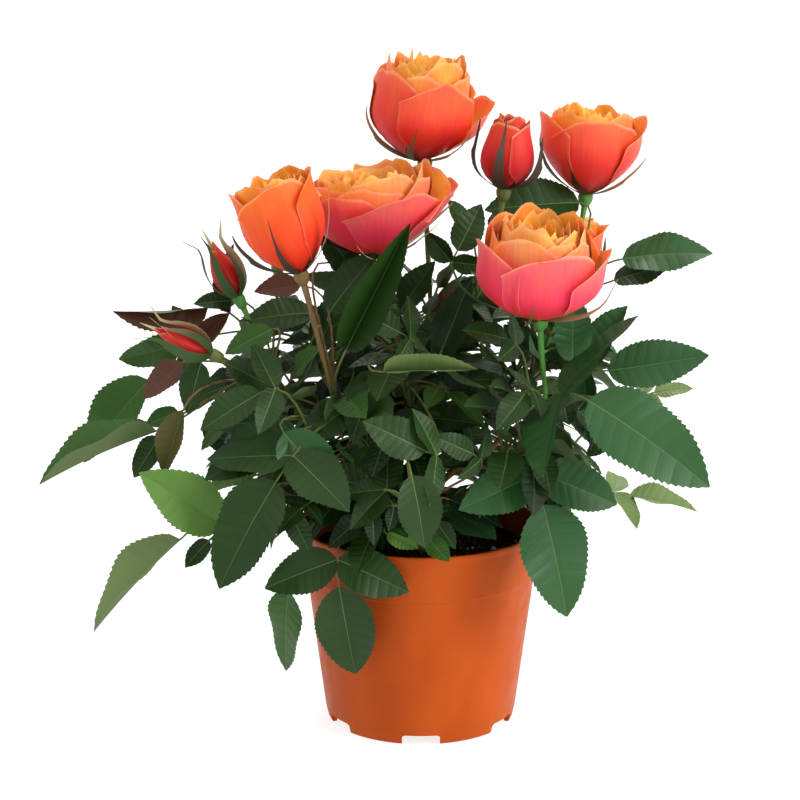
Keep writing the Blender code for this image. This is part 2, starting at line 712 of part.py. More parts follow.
def turned(name, profile, sides, look, home):
    """A solid turned about the pot's axis, from its section in mm, which starts and ends there."""
    mesh = bpy.data.meshes.new(name)
    points = [(radius * MM, 0, height * MM) for radius, height in profile]
    mesh.from_pydata(points, [(i, i + 1) for i in range(len(points) - 1)], [])
    mesh.materials.append(look)
    made = bpy.data.objects.new(name, mesh)
    home.objects.link(made)
    screw = made.modifiers.new("turn", "SCREW")
    screw.steps = screw.render_steps = sides
    screw.use_merge_vertices = True
    screw.merge_threshold = 0.00001
    screw.use_normal_flip = True
    return made


def make_pot(home, cutters):
    """A turned shell whose foot ring has notches; the disc in its middle carries it too."""
    inside, outside = pot_profile()
    look = material("terracotta_orange", (0.62, 0.15, 0.03), 0.45)
    pot = turned("pot", inside + outside, POT_SIDES, look, home)
    for i in range(NOTCHES):
        azimuth = 360 * i / NOTCHES - 90
        build = bmesh.new()
        bmesh.ops.create_cube(build, size=MM)
        cutter = bpy.data.objects.new(f"notch_{i}", bpy.data.meshes.new("notch"))
        build.to_mesh(cutter.data)
        build.free()
        cutter.scale = NOTCH_SIZE
        cutter.location = polar(azimuth, FOOT_RADIUS - 0.5, 0)
        cutter.rotation_euler.z = math.radians(azimuth)
        cutter.hide_render = True
        cutters.objects.link(cutter)
        cut = pot.modifiers.new(f"notch_{i}", "BOOLEAN")
        cut.operation = "DIFFERENCE"
        cut.object = cutter


def make_soil(home):
    """The soil fills the pot just clear of its wall, and lies a little higher round the stem."""
    inside, _ = pot_profile()
    (hub, floor), (step, deck), (corner, _), (body, band), (rim, top) = inside[1:]
    edge = blend((body, rim), (SOIL_TOP - 2 - band) / (top - band))
    profile = [
        (0, floor + SOIL_GAP),
        (hub - SOIL_GAP, floor + SOIL_GAP),
        (step - SOIL_GAP, deck + SOIL_GAP),
        (corner - 2 * SOIL_GAP, deck + SOIL_GAP),
        (body - SOIL_GAP, band),
        (edge - SOIL_GAP, SOIL_TOP - 2),
        (STEM_FOOT_RADIUS + 18, SOIL_TOP - 1),
        (STEM_FOOT_RADIUS + 2, SOIL_TOP),
        (0, SOIL_TOP),
    ]
    look = material("dark_soil", (0.03, 0.02, 0.015), 0.95)
    turned("soil", profile, POT_SIDES // 2, look, home)


def make_short_stem(home):
    """The woody stem that the canes rise from: a flat cut on the soil, a flare and a flat top."""
    profile = [
        (0, SOIL_TOP + SEAT_GAP),
        (STEM_FOOT_RADIUS, SOIL_TOP + SEAT_GAP),
        (STEM_RADIUS + 0.8, SOIL_TOP + 5),
        (STEM_RADIUS, SOIL_TOP + 10),
        (STEM_RADIUS, STEM_TOP),
        (0, STEM_TOP),
    ]
    turned("short_stem", profile, STEM_SIDES, material("stem_bark", (0.14, 0.09, 0.04), 0.8), home)


def main():
    clear_scene()
    home = bpy.data.collections.new("rose_bush")
    cutters = bpy.data.collections.new("cutters")
    for collection in (home, cutters):
        bpy.context.scene.collection.children.link(collection)
    plant = Plant()
    make_pot(home, cutters)
    make_soil(home)
    make_short_stem(home)
    cane_look = material("cane_green_brown", (0.10, 0.13, 0.03), 0.6)
    leaf_look = material("leaf_green", (0.03, 0.10, 0.03), 0.5)
    petal_look = material("petal_coral", (0.85, 0.13, 0.05), 0.55)
    bud_look = material("bud_red_green", (0.25, 0.10, 0.04), 0.55)
    for name, path in plant.canes.items():
        mesh_object(name, tube(path, CANE_RADII, 6, 5), cane_look, home)
    for mass, paths in plant.stems.items():
        stems = [tube(path, SHOOT_RADII, 3, 5) for path in paths]
        fused(mass, stems + [spray.solid() for spray in plant.sprays[mass]], leaf_look, home)
        print(mass, "has", len(plant.sprays[mass]), "compound leaves")
    for flower in FLOWERS:
        look = bud_look if flower.kind == "bud" else petal_look
        mesh_object(flower.name, flower_solid(flower, plant.twigs[flower.name]), look, home)
    print("named leaves that found no room:", plant.skipped)


if __name__ == "__main__":
    main()
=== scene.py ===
"""Looks of the patio rose bush: leaves, petals, bark, pot and soil round the frame's solids.

The measures and the rule that limbs and leaves grow by are those of the part's source, so that every
leaf grows on from the same limbs. Lengths are in mm and angles in degrees unless a comment says
otherwise; points are in metres.
"""

import functools
import random
from collections import namedtuple
from math import atan2, cos, degrees, hypot, pi, radians, sin, sqrt

import bmesh
import bpy
import numpy as np
from mathutils import Matrix, Vector, noise
from mathutils.bvhtree import BVHTree

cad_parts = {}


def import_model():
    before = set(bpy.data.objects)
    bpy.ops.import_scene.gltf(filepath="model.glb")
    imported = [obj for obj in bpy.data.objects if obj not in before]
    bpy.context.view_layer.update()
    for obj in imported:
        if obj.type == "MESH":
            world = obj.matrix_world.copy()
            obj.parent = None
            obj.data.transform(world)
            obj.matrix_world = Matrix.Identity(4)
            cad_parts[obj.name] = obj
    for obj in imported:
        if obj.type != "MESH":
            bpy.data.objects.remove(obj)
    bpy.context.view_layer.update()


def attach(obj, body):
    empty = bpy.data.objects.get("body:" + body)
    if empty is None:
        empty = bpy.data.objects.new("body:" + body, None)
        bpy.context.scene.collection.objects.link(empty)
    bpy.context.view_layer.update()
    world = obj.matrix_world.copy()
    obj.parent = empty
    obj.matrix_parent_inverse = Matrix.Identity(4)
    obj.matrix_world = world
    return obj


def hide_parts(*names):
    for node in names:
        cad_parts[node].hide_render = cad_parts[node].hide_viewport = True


MM = 0.001
SEAT_GAP = 0.3  # between two pieces that touch on the real plant
SEED = 7
UP = Vector((0, 0, 1))

# ---- the pot, its soil and the short stem ----
POT_HEIGHT = 102.0
RIM_RADIUS = 60.9
BAND_HEIGHT = 24.0  # the proud band under the rim
BAND_RADIUS = 59.2  # at its lower edge
BAND_STEP = 1.0
WALL = 1.4
BASE_RADIUS = 48.7  # where the wall turns in to the foot
BASE_HEIGHT = 6.0
FOOT_RADIUS = 47.2
FOOT_WIDTH = 2.4
DISC_RADIUS = 28.0  # the flat disc in the middle of the underside
CHANNEL_HEIGHT = 5.6  # the drainage channel round the disc
FLOOR = 1.8  # how thick the pot's bottom is
POT_STEPS = 144
NOTCHES = 6
NOTCH_SIZE = (8.0, 19.0, 10.0)  # through the foot, along it and, half of it, up
SOIL_TOP = 90.0
SOIL_RINGS, SOIL_SIDES = 46, 150
CRUMBS = 750
GRIT_SHARE = 0.06
MOSS_SPOT = (34.0, -30.0)
MOSS_BLADES = 26
MOSS_SCATTER = 1.6
MOSS_RADII = (0.32, 0.12)
STEM_TOP = 112.0
STEM_SIDES = 14
STEM_FOOT_RADIUS = 12.0
STEM_RADIUS = 9.0
BARK_ROWS, BARK_SIDES = 18, 40
CANE_RING = 5.8  # the circle on the stem's top that the canes stand on
SKIRT_DROP = 6  # from the stem's top to where the skirt shoots leave it

# ---- twigs and leaves ----
CANE_RADII = (1.8, 1.5)
SHOOT_RADII = (1.5, 1.1)
TWIG_RADII = (1.1, 1.6)
TWIG_END = 4.5  # below a flower's hip
STALK_RADII = (0.9, 0.75)
STALK_LOOK = (0.75, 0.5)
SHOOT_MESH, CANE_MESH, TWIG_MESH, STALK_MESH, TEST_MESH = (9, 14), (12, 22), (10, 18), (6, 8), (3, 6)
SHOOT_THORNS, CANE_THORNS, TWIG_THORNS = 3, 4, 2
THORN_LENGTHS = (1.8, 2.8)
THORN_FOOT = (1.3, 0.45)  # half its length and half its breadth
SIDE_SHOOT = 0.55  # where a side shoot leaves its shoot, of the way
BLADE_THICKNESS = 0.7
BLADE_WIDTH = 0.62  # of its length
BLADE_FOLD = 0.22  # how far the edges lift, of the half width
BLADE_EDGE = ((0.24, 0.86), (0.64, 0.84), (1.0, 0.0), (0.64, -0.84), (0.24, -0.86))
BLADE_RIB = 0.45  # where the blade is thickest, of its length
END_DROOP, PAIR_DROOP = 0.10, 0.08
PAIR_SPREAD = 68.0
PAIR_SIZES = (0.76, 0.62)  # of the end leaflet
PAIR_STEPS = (0.26, 0.76)  # how far back from the joint, in end leaflets
PAIR_ROOT = 0.9  # half the length of stalk that a leaflet stands on
FIRST_PAIR = 0.3  # no pair stands nearer to the shoot, of the stalk
STALK_TEST = 0.4  # a stalk may touch its own mass nearer to the shoot, of the stalk
TEST_MARGIN = 0.35  # how much larger a test shape is all round
TRIES, FINE_TRIES = 30, 16
LOOSER = 0.5  # how much further a named leaf may stray with each try
LOOSE_HEADING, LOOSE_ROLL = 1.5, 3  # how far it turns meanwhile, for each mm
ROOT_STEP = 0.02  # how much lower on its shoot it starts with each try
STALKS, LENGTHS = (16, 34), (30, 44)  # of unnamed leaves, which shrink with each try
STALK_SHRINK, LENGTH_SHRINK = 0.015, 0.02
LONG_STALK = 26  # carries five leaflets
LEAF_TURN, LEAF_SIDES = 137.5, 220  # from one unnamed leaf to the next, within that range
SHOOT_PART, SKIRT_PART = (0.08, 0.92), (0.25, 0.92)  # where unnamed leaves stand on their shoot
FINE_SHOOT_PART, FINE_SKIRT_PART = (0.06, 0.92), (0.2, 0.92)
FINE_TURNS = 32  # finer compound leaves that each mass tries for
FINE_STALKS, FINE_LENGTHS = (12, 38), (17, 34)
SOIL_CLEAR = 132.0  # no finer leaf hangs lower over the soil
VIEWER = -90.0  # the side that the named leaves turn to, as they do to a window
FLOWER_SIDES = 15
SEPALS = 5

# The crown that unnamed leaves stay in: an ellipsoid about its centre.
CROWN_CENTRE = (-4.0, 0.0, 156.0)
CROWN_RADII = (118.0, 116.0, 86.0)

# What keeps leaves out of the filled pot: (radius, height), half a millimetre proud.
POT_KEEP_OUT = (
    (BASE_RADIUS + 0.5, 0),
    (BAND_RADIUS + 0.5, POT_HEIGHT - BAND_HEIGHT),
    (RIM_RADIUS + 0.5, POT_HEIGHT - 1),
    (RIM_RADIUS + 0.5, POT_HEIGHT + 0.5),
    (RIM_RADIUS - 3, POT_HEIGHT + 0.5),
    (RIM_RADIUS - 4, SOIL_TOP + 1),
    (1, SOIL_TOP + 1.5),
)


def table(kind, *rows):
    return tuple(kind(*row) for row in rows)


# Each cane rises from the short stem to a fork, where its shoot goes on to the foot of a flower's
# twig. Places are (azimuth, reach, height). "leaves" is how many unnamed ones the shoot tries for.
SHOOTS = table(
    namedtuple("Shoot", "name fork tip side_tips leaves"),
    ("front_right", (-42, 46, 132), (-40, 78, 182), (), 6),
    ("right", (12, 44, 148), (14, 76, 222), (), 7),
    ("back_right", (48, 48, 140), (48, 80, 174), (), 8),
    ("back", (102, 42, 145), (102, 72, 188), (), 8),
    ("back_left", (140, 42, 142), (137, 76, 184), (), 8),
    ("left", (-167, 40, 142), (-166, 78, 190), ((-158, 93, 184),), 6),
    ("front_left", (-143, 30, 138), (-140, 58, 182), (), 6),
    ("front", (-115, 14, 144), (-128, 16, 202), (), 6),
    ("top", (80, 16, 150), (82, 35, 210), ((20, 33, 224),), 8),
)

# A skirt shoot leaves the side of the short stem and arches over the rim.
SKIRTS = table(
    namedtuple("Skirt", "name azimuth reach height leaves"),
    ("front", -95, 60, 126, 6),
    ("front_left", -138, 66, 128, 6),
    ("left", -172, 78, 132, 6),
    ("back_left", 142, 76, 128, 8),
    ("back", 92, 74, 128, 8),
    ("back_right", 42, 74, 128, 8),
    ("right", -12, 70, 126, 7),
)

# The looks of leaves: name, colour, roughness and, for ribs, a weaker relief.
LEAF_LOOKS = (
    ("leaf_dark", (30, 58, 15), 0.46),
    ("leaf_mid", (48, 86, 24), 0.48),
    ("leaf_blue", (41, 82, 40), 0.40),
    ("leaf_light", (84, 122, 48), 0.52),
    ("leaf_sage", (112, 134, 80), 0.6),
    ("leaf_olive", (74, 72, 30), 0.52),
    ("leaf_bronze", (86, 54, 38), 0.5),
    # The darkest green, a shaded copy of the leaf greens: painted shade for leaves deep inside the crown.
    ("leaf_deep", (18, 42, 14), 0.5),
    ("rib_green", (82, 112, 56), 0.5, 0.1),
    ("rib_bronze", (104, 62, 40), 0.5, 0.1),
    ("underside_0", (86, 106, 62), 0.7),
    ("underside_1", (72, 94, 54), 0.7),
)
DARK, MID, BLUE, LIGHT, SAGE, OLIVE, BRONZE, DEEP_PAINTED_SHADE, GREEN_RIB, BRONZE_RIB, UNDERSIDE = range(11)
# Leaves near the axis keep to the darker tones: partly older leaves, partly painted shade inside the crown.
# The fine leaves that fill the crown's inside take the darkest ones, as painted shade.
OLD_AND_SHADED_TONES = (DARK, DARK, DARK, MID, MID, BLUE)
YOUNG_TONES = (DARK, DARK, MID, MID, BLUE, BLUE, LIGHT, OLIVE)
FINE_SHADED_TONES = (DEEP_PAINTED_SHADE, DEEP_PAINTED_SHADE, DARK, DARK, DARK, MID)
YOUNG_REACH = 78.0  # from the axis, beyond which a leaf may be young

# A compound leaf that the photo shows: its tone, the place where its end leaflet starts, where that
# heads and how long it is. "at" is how far along its shoot the stalk leaves.
Leaf = namedtuple("Leaf", "mass tone at azimuth reach height yaw pitch length leaflets roll", defaults=(1, 0))
NAMED_LEAVES = table(
    Leaf,
    ("foliage_front_right", BLUE, 0.92, -43, 108, 185, -23, -26, 70, 3),
    ("foliage_front_right", BLUE, 0.60, -47, 86, 130, -33, -72, 57, 3),
    ("foliage_front_left", DARK, 0.60, -132, 104, 146, -154, -54, 58, 3, 10),
    ("foliage_right", BLUE, 0.92, 8, 112, 235, -8, 3, 36, 1, -12),
    ("foliage_right", DARK, 0.86, 9, 98, 224, -8, 22, 29, 1, -20),
    ("foliage_right", BLUE, 0.55, -11, 97, 187, -8, 9, 50, 3, -12),
    ("foliage_right", BLUE, 0.30, -17, 86, 187, -86, 82, 35),
    ("foliage_right", DARK, 0.80, 31, 58, 256, -19, 38, 26, 3),
    ("skirt_right", SAGE, 0.92, 3, 106, 114, -8, -4, 35, 3, -30),
    ("skirt_right", SAGE, 0.90, 9, 120, 165, 0, 11, 20, 3, -20),
    ("foliage_left", MID, 0.85, -167, 134, 167, -168, -20, 60),
    ("foliage_left", MID, 0.70, -177, 129, 190, -166, -40, 54),
    ("foliage_left", BRONZE, 0.92, -179, 106, 209, -173, -5, 47, 3, -52),
    ("foliage_left", OLIVE, 0.75, -158, 125, 173, -160, -70, 34),
    ("foliage_back_left", MID, 0.92, 174, 122, 192, 180, -18, 32, 3, -30),
    ("skirt_left", SAGE, 0.85, -159, 127, 107, -165, -40, 62, 1, 34),
    ("skirt_left", LIGHT, 0.60, -153, 110, 116, -154, 38, 50),
    ("skirt_front_left", DARK, 0.92, -143, 97, 185, -164, -27, 34, 3),
    ("skirt_front_left", MID, 0.80, -141, 84, 83, 154, -82, 44, 1, 30),
    ("skirt_front_left", DARK, 0.70, -122, 76, 89, 28, -80, 50, 3),
    ("foliage_front_left", DARK, 0.90, -122, 72, 207, -26, 62, 62),
    ("foliage_front", DARK, 0.55, -89, 85, 163, -170, 31, 33, 3),
    ("foliage_front", SAGE, 0.90, -104, 76, 199, -13, 6, 45),
    ("foliage_front", DARK, 0.80, -100, 58, 214, -175, 30, 27, 3),
    ("skirt_front", DARK, 0.92, -93, 93, 151, -19, -71, 37),
    ("skirt_front", DARK, 0.60, -72, 74, 156, -165, 28, 22, 3),
    ("foliage_top", DARK, 0.90, 5, 18, 242, 20, 60, 26, 3),
    ("foliage_top", DEEP_PAINTED_SHADE, 0.70, -72, 32, 199, -33, 66, 40, 3),
    ("foliage_front_right", DARK, 0.80, -46, 55, 204, -165, 21, 24, 3),
)
NAMED_FOLDS = {5: 36, 8: 32, 10: 48, 11: 28, 12: 58, 13: 45, 15: 36, 20: 60, 22: 70, 27: 45}

# How the photo's leaves differ from the source's rows, by number: how far the tip is lifted and the
# blade rolled, how much longer it is, and how far it is moved.
Fit = namedtuple("Fit", "lift roll stretch shift")
FITS = {
    3: Fit(12, 0, 1.25, (-10, 0, 0)),
    5: Fit(-2, 26, 1.0, (0, 0, -3)),
    10: Fit(7, 46, 1.04, (0, 0, -9)),
    11: Fit(-9, 0, 1.0, (-7, 0, -12)),
    12: Fit(0, -14, 1.0, (0, 0, 5)),
    14: Fit(6, -40, 1.0, (0, 0, 0)),
    20: Fit(2, 22, 1.12, (2, 0, 0)),
    24: Fit(0, 0, 1.0, (4, 0, 8)),
}

# Leaves that the photo shows behind and between the source's own.
FILL_LEAVES = table(
    Leaf,
    ("foliage_left", DARK, 0.60, -167, 132, 155, -157, -51, 24),
    ("foliage_left", MID, 0.50, -169, 122, 166, -173, -18, 18),
    ("foliage_left", BRONZE, 0.60, -169, 120, 191, -158, -35, 26),
    ("foliage_left", DARK, 0.60, -162, 113, 194, -132, -65, 26),
    ("foliage_left", DARK, 0.85, -175, 92, 219, -163, 1, 21),
    ("foliage_left", DARK, 0.70, -165, 56, 214, -162, 2, 33),
    ("foliage_left", MID, 0.60, -159, 78, 209, -161, -20, 26),
    ("foliage_front_left", BRONZE, 0.80, -174, 60, 226, -170, -2, 23),
    ("foliage_front_left", DARK, 0.50, -150, 81, 182, -166, 30, 29),
    ("foliage_front_left", DARK, 0.45, -149, 85, 167, -168, -1, 29),
    ("foliage_front_left", DARK, 0.40, -139, 79, 164, -168, -21, 51),
    ("foliage_front_left", DARK, 0.80, -167, 53, 195, -16, 65, 35),
    ("foliage_front_left", DARK, 0.85, -177, 45, 237, -23, -7, 21),
    ("foliage_front_left", DARK, 0.40, -130, 52, 175, -147, -27, 33),
    ("foliage_front_left", BLUE, 0.50, -137, 91, 166, -27, -44, 43),
    ("foliage_front", DARK, 0.80, -160, 48, 215, -11, 56, 38),
    ("foliage_front", DARK, 0.85, -177, 33, 233, -166, 51, 27),
    ("foliage_front", DARK, 0.50, -119, 50, 187, -129, -60, 31),
    ("foliage_top", DARK, 0.70, 180, 10, 212, -15, 59, 30),
    ("foliage_top", BRONZE, 0.70, -54, 7, 203, -22, 49, 32),
    ("foliage_top", MID, 0.85, 39, 32, 246, -156, 62, 22),
    ("foliage_right", DARK, 0.85, 17, 83, 262, -163, 2, 48),
    ("skirt_left", DARK, 0.60, -159, 112, 105, -154, -40, 18),
    ("skirt_front", LIGHT, 0.60, -108, 55, 112, -15, -21, 17),
    ("skirt_front_left", DARK, 0.70, -138, 86, 125, -32, -61, 23),
)
# Compound leaves that are left out, by number, as the photo shows the soil bare there.
BARE_SOIL = {"skirt_front": (5, 6), "skirt_right": (2, 3), "skirt_back_right": (0,)}

# ---- how leaves are drawn ----
CALM = 0.3  # how freely a leaf that the photo places droops and bends, of the others' share
RIB_HALF = 0.28
VEIN_LEAN = 1.3  # how far the side veins slant toward the tip
SIDE_VEINS = 9
VEIN_RELIEF = 0.0011  # m
LEAF_PLEAT = 0.005
LEAF_THICKNESS = 0.16
LEAF_FOLD = (8, 26)  # how far each half rises
LEAF_ROW = 9  # points in a row across a leaflet
TOOTH_DEPTH = 0.0095  # of the leaflet's length
TOOTH_SPACING = 3.6
TOOTH_LEAN = 0.84  # where a tooth has its point, of its length
FOLD_ROUND = 0.05
EDGE_WAVE = 0.07

# ---- flowers ----
# A flower: the shoot that carries it, the place of its hip, the way it leans (toward an azimuth, by a
# tilt), its size and its colours. "full_at" is how far up its petals it is widest; "opened" tells
# which petals have fallen open, and how far.
FLOWERS = table(
    namedtuple(
        "Flower",
        "name shoot tip hip toward tilt width height kind palette stem sepal turn full_at opened",
        defaults=(0, 0.42, {}),
    ),
    ("bloom_top", "top", 0, (87, 40, 280), 85, 6, 54, 51, "full", "coral", "olive", "green"),
    ("bloom_right", "right", 0, (21, 89, 264), 20, 5, 50, 46, "cup", "coral", "green", "brown"),
    ("bud_half_open", "top", 1, (5, 41, 272), 0, 6, 27, 38, "half", "deep", "olive", "brown"),
    ("bloom_centre", "front", 0, (-164, 20, 245), -95, 14, 66, 39, "wide", "pink", "green", "green"),
    ("bloom_left", "front_left", 0, (-137, 79, 242), 180, 16, 46, 48, "cup", "orange", "brown", "brown"),
    (
        "bloom_front_right", "front_right", 0, (-44, 79, 220), -80, 10, 60, 50,
        "full", "pink", "green", "green",
    ),
    ("bloom_back", "back", 0, (101, 96, 230), 100, 14, 52, 38, "full", "coral", "green", "green"),
    ("bloom_back_right", "back_right", 0, (49, 103, 208), 48, 14, 50, 40, "cup", "orange", "olive", "brown"),
    ("bud_back_left", "back_left", 0, (137, 102, 220), 136, 14, 17, 26, "bud", "deep", "green", "green"),
    ("bud_left_upper", "left", 0, (-167, 92, 223), 180, 26, 17, 33, "bud", "deep", "green", "green"),
    ("bud_left_lower", "left", 1, (-157, 110, 200), -168, 63, 16, 33, "bud", "deep", "olive", "green"),
)
# How petals and sepals stand, where the photo shows them otherwise than the source.
RESHAPED = {
    "bloom_top": dict(
        hip=(93.6, 40, 280), toward=0, tilt=8, height=54.5, full_at=0.55, opened={0: 0.48, 4: 0.06, 2: 0.12}
    ),
    "bloom_right": dict(turn=10, full_at=0.72, opened={0: 0.12, 2: 0.12}),
    "bloom_centre": dict(
        hip=(-166, 22, 239), toward=180, tilt=6, height=47.0, turn=-10, full_at=0.85,
        opened={0: 0.24, 4: 0.08, 5: 0.2},
    ),
    "bloom_left": dict(tilt=18, width=42.0, height=50.5, full_at=0.62, opened={1: 0.08}),
    "bloom_front_right": dict(
        hip=(-45.2, 77.4, 220), height=51.5, turn=-12, full_at=0.54, opened={0: 0.28, 3: 0.08, 4: 0.10}
    ),
}
FLARE = dict(full=1.0, cup=0.94, wide=1.06, half=0.80)  # of a bloom's rim
SEPAL_RISE = dict(full=(-14, 12), cup=(-14, 12), wide=(-26, -6), half=(-14, 12), bud=(42, 52))
SEPAL_LENGTH = 24.0  # in the source's solid

PETAL_ROWS, PETAL_COLUMNS = 14, 17
PETAL_THICKNESS = 0.32
PETAL_CELLS = 10  # cells along a side of a bloom's colour map, one for each side of a petal
LEAST_TUCKED = 0.3
PETAL_TUCK = 0.028  # how far one edge of a petal lies inside its neighbour, of the bloom's half width
CLAW_RADIUS = 2.4
INNER_RADIUS = 0.9  # petals within this share of the bloom's half width are inner ones
PETAL_SHORTEST = (0.92, 0.88)  # the shortest outer petal and the shortest inner one, of its line
PETAL_DENT = 0.02  # how far the middle of an inner petal may stand in or out, of the half width
CUP_STEPS = 60
HIP_RADIUS, BUD_HIP_RADIUS = 3.9, 3.2
HIP_SIDES = 16

# A ring of petals: how many, then its greatest radius and its height (shares of the bloom's),
# half the angle that a petal spans, how far it closes at the top, how far its lip curls out
# (shares of the bloom's half width) and how high its ruffles are.
Layer = namedtuple("Layer", "count radius top spread close flare ruffle")
LAYERS = {
    "full": table(
        Layer,
        (5, 0.95, 0.90, 48, 0.08, 0.08, 0.9),
        (5, 0.86, 0.96, 46, 0.10, 0.00, 0.8),
        (5, 0.77, 1.00, 46, 0.12, -0.02, 0.8),
        (5, 0.68, 1.02, 46, 0.13, -0.03, 0.7),
        (6, 0.57, 1.01, 40, 0.14, -0.03, 0.7),
        (6, 0.45, 1.00, 40, 0.15, -0.03, 0.6),
        (5, 0.32, 0.98, 46, 0.28, -0.02, 0.5),
        (3, 0.18, 0.96, 74, 0.62, 0.0, 0.3),
    ),
    "cup": table(
        Layer,
        (4, 0.98, 0.99, 58, 0.06, 0.13, 0.8),
        (4, 0.88, 1.00, 56, 0.08, 0.03, 0.7),
        (4, 0.78, 0.98, 54, 0.10, 0.02, 0.7),
        (5, 0.66, 0.97, 46, 0.12, -0.02, 0.6),
        (5, 0.52, 0.96, 44, 0.14, -0.02, 0.5),
        (4, 0.36, 0.94, 54, 0.24, -0.02, 0.4),
        (3, 0.19, 0.92, 74, 0.60, 0.0, 0.3),
    ),
    "wide": table(
        Layer,
        (6, 1.00, 0.91, 42, -0.08, 0.13, 1.2),
        (6, 0.88, 0.97, 42, -0.03, 0.02, 1.0),
        (5, 0.80, 0.99, 46, 0.00, 0.02, 1.0),
        (6, 0.69, 0.97, 40, 0.02, 0.02, 0.9),
        (6, 0.57, 0.95, 40, 0.06, -0.02, 0.9),
        (6, 0.44, 0.93, 40, 0.09, -0.03, 0.8),
        (5, 0.31, 0.91, 46, 0.24, -0.02, 0.6),
        (3, 0.18, 0.89, 74, 0.60, 0.0, 0.4),
    ),
    "half": table(
        Layer,
        (3, 0.98, 0.97, 84, 0.34, 0.03, 0.2),
        (3, 0.85, 1.00, 84, 0.42, 0.0, 0.2),
        (3, 0.70, 0.99, 84, 0.50, 0.0, 0.2),
        (2, 0.48, 0.95, 110, 0.60, 0.0, 0.1),
    ),
    "bud": table(Layer, (3, 0.80, 0.95, 80, 0.74, 0.0, 0.2), (3, 0.62, 0.97, 80, 0.74, 0.0, 0.2)),
}
SEPAL_LOOSE = dict(full=(0.05, 0.6), cup=(0.0, 0.5), wide=(0.3, 0.8), half=(0.0, 0.3), bud=(0.05, 0.35))
SEPAL_ROWS = 15
SEPAL_SPREAD = 3.4  # half its breadth
SEPAL_REACH = 39.0  # its length with its thin tip
SEPAL_CLEAR = 1.0  # how far it stands off the petals
# Petal colours: foot, body, blush and lip of the outer side, then the inner side and the heart. The foot is a
# deeper red, darkened further by painted shade near the hip.
PALETTES = {
    "coral": ((112, 16, 10), (212, 28, 20), (238, 64, 50), (244, 104, 66), (249, 146, 50), (254, 200, 66)),
    "pink": ((122, 14, 18), (220, 34, 36), (237, 54, 86), (244, 100, 98), (250, 152, 60), (255, 208, 84)),
    "orange": ((140, 22, 12), (224, 44, 16), (240, 72, 26), (245, 106, 40), (248, 144, 40), (253, 192, 56)),
    "deep": ((84, 10, 10), (160, 16, 18), (198, 30, 32), (220, 64, 46), (192, 52, 36), (176, 40, 28)),
}
# The pale rim colour that petal lips and side edges are blended toward: partly a paler edge, partly a painted
# highlight.
PETAL_RIM_HIGHLIGHT = (254, 206, 156)
RIM_HIGHLIGHT_SHARE = 0.42

# ---- other looks, and the stage ----
STEM_LOOKS = {
    "green": ((58, 112, 40), (84, 142, 56)),
    "olive": ((74, 88, 36), (104, 112, 52)),
    "brown": ((96, 70, 40), (132, 104, 56)),
}
SEPAL_LOOKS = {
    "green": ((52, 78, 36), 0.6),
    "brown": ((62, 48, 34), 0.6),
    "pale": ((176, 172, 128), 0.7, 0.1),
}
FLOWER_LOOKS = [f"stem_{name}" for name in STEM_LOOKS] + [f"sepal_{name}" for name in SEPAL_LOOKS]
SOIL_LOOKS = (
    ("peat", (26, 18, 12), (58, 42, 28)),
    ("crumb_dark", (34, 24, 16), (72, 52, 36)),
    ("crumb_brown", (58, 40, 26), (104, 78, 54)),
    ("grit_pale", (190, 184, 172), (226, 222, 212)),
    ("moss", (70, 116, 44), (110, 156, 66)),
)
PEAT, DARK_CRUMB, BROWN_CRUMB, GRIT, MOSS = range(5)

# The photo's camera: its rise over level, its distance and the width of the view there, in m.
CAMERA_RISE = 14.6
CAMERA_DISTANCE = 1.447
CAMERA_VIEW = 0.4016
CAMERA_TARGET = (-0.0105, 0, 0.166)
SENSOR = 36
# The studio's brightness from straight below (0) to straight above (1).
STUDIO = ((0.0, 0.42), (0.5, 0.42), (0.675, 0.56), (0.95, 1.4))
# Lights: name, place and size in m, power and colour.
LIGHTS = (
    ("key", (1.5, -0.85, 1.0), 1.2, 30.0, (1.0, 0.98, 0.95)),
    ("fill", (-1.3, -0.9, 0.8), 1.0, 1.0, (0.94, 0.97, 1.0)),
    ("back", (0.2, 1.3, 1.1), 0.9, 10, (1, 1, 1)),
)
LIGHT_AIM = (0, 0, 0.2)
FLOOR_RADIUS, FLOOR_SINK = 6, 0.0002  # m
# The angle from which an edge is drawn sharp.
SHARP, PETAL_SHARP, SOIL_SHARP, POT_SHARP = 55, 80, 60, 32


# ==== the growth rule ====


def radial(turn, reach, height):
    """The vector that lies a turn, in radians, round the axis, and so far out and up."""
    return Vector((reach * cos(turn), reach * sin(turn), height))


def polar(azimuth, reach, height):
    """The point, in metres, that lies so many degrees round the pot, and so many mm out and up."""
    return radial(radians(azimuth), reach, height) * MM


def heading(azimuth, pitch):
    rise = radians(pitch)
    return radial(radians(azimuth), cos(rise), sin(rise))


def blend(pair, t):
    return pair[0] + (pair[1] - pair[0]) * t


def square(vector, axis):
    """The vector's direction once what lies along the axis is taken out."""
    return (vector - axis * vector.dot(axis)).normalized()


def turned(vector, axis, angle):
    return Matrix.Rotation(radians(angle), 3, axis) @ vector


class Path:
    """A smooth curve from one point and direction to another."""

    def __init__(self, start, leaving, end, arriving):
        self.span = (end - start).length
        self.ends = (start, leaving * self.span, end, arriving * self.span)

    def point(self, t):
        start, leaving, end, arriving = self.ends
        early = start * (2 * t**3 - 3 * t**2 + 1) + leaving * (t**3 - 2 * t**2 + t)
        return early + end * (3 * t**2 - 2 * t**3) + arriving * (t**3 - t**2)

    def along(self, t):
        start, leaving, end, arriving = self.ends
        slope = (start - end) * (6 * t**2 - 6 * t) + leaving * (3 * t**2 - 4 * t + 1)
        return (slope + arriving * (3 * t**2 - 2 * t)).normalized()


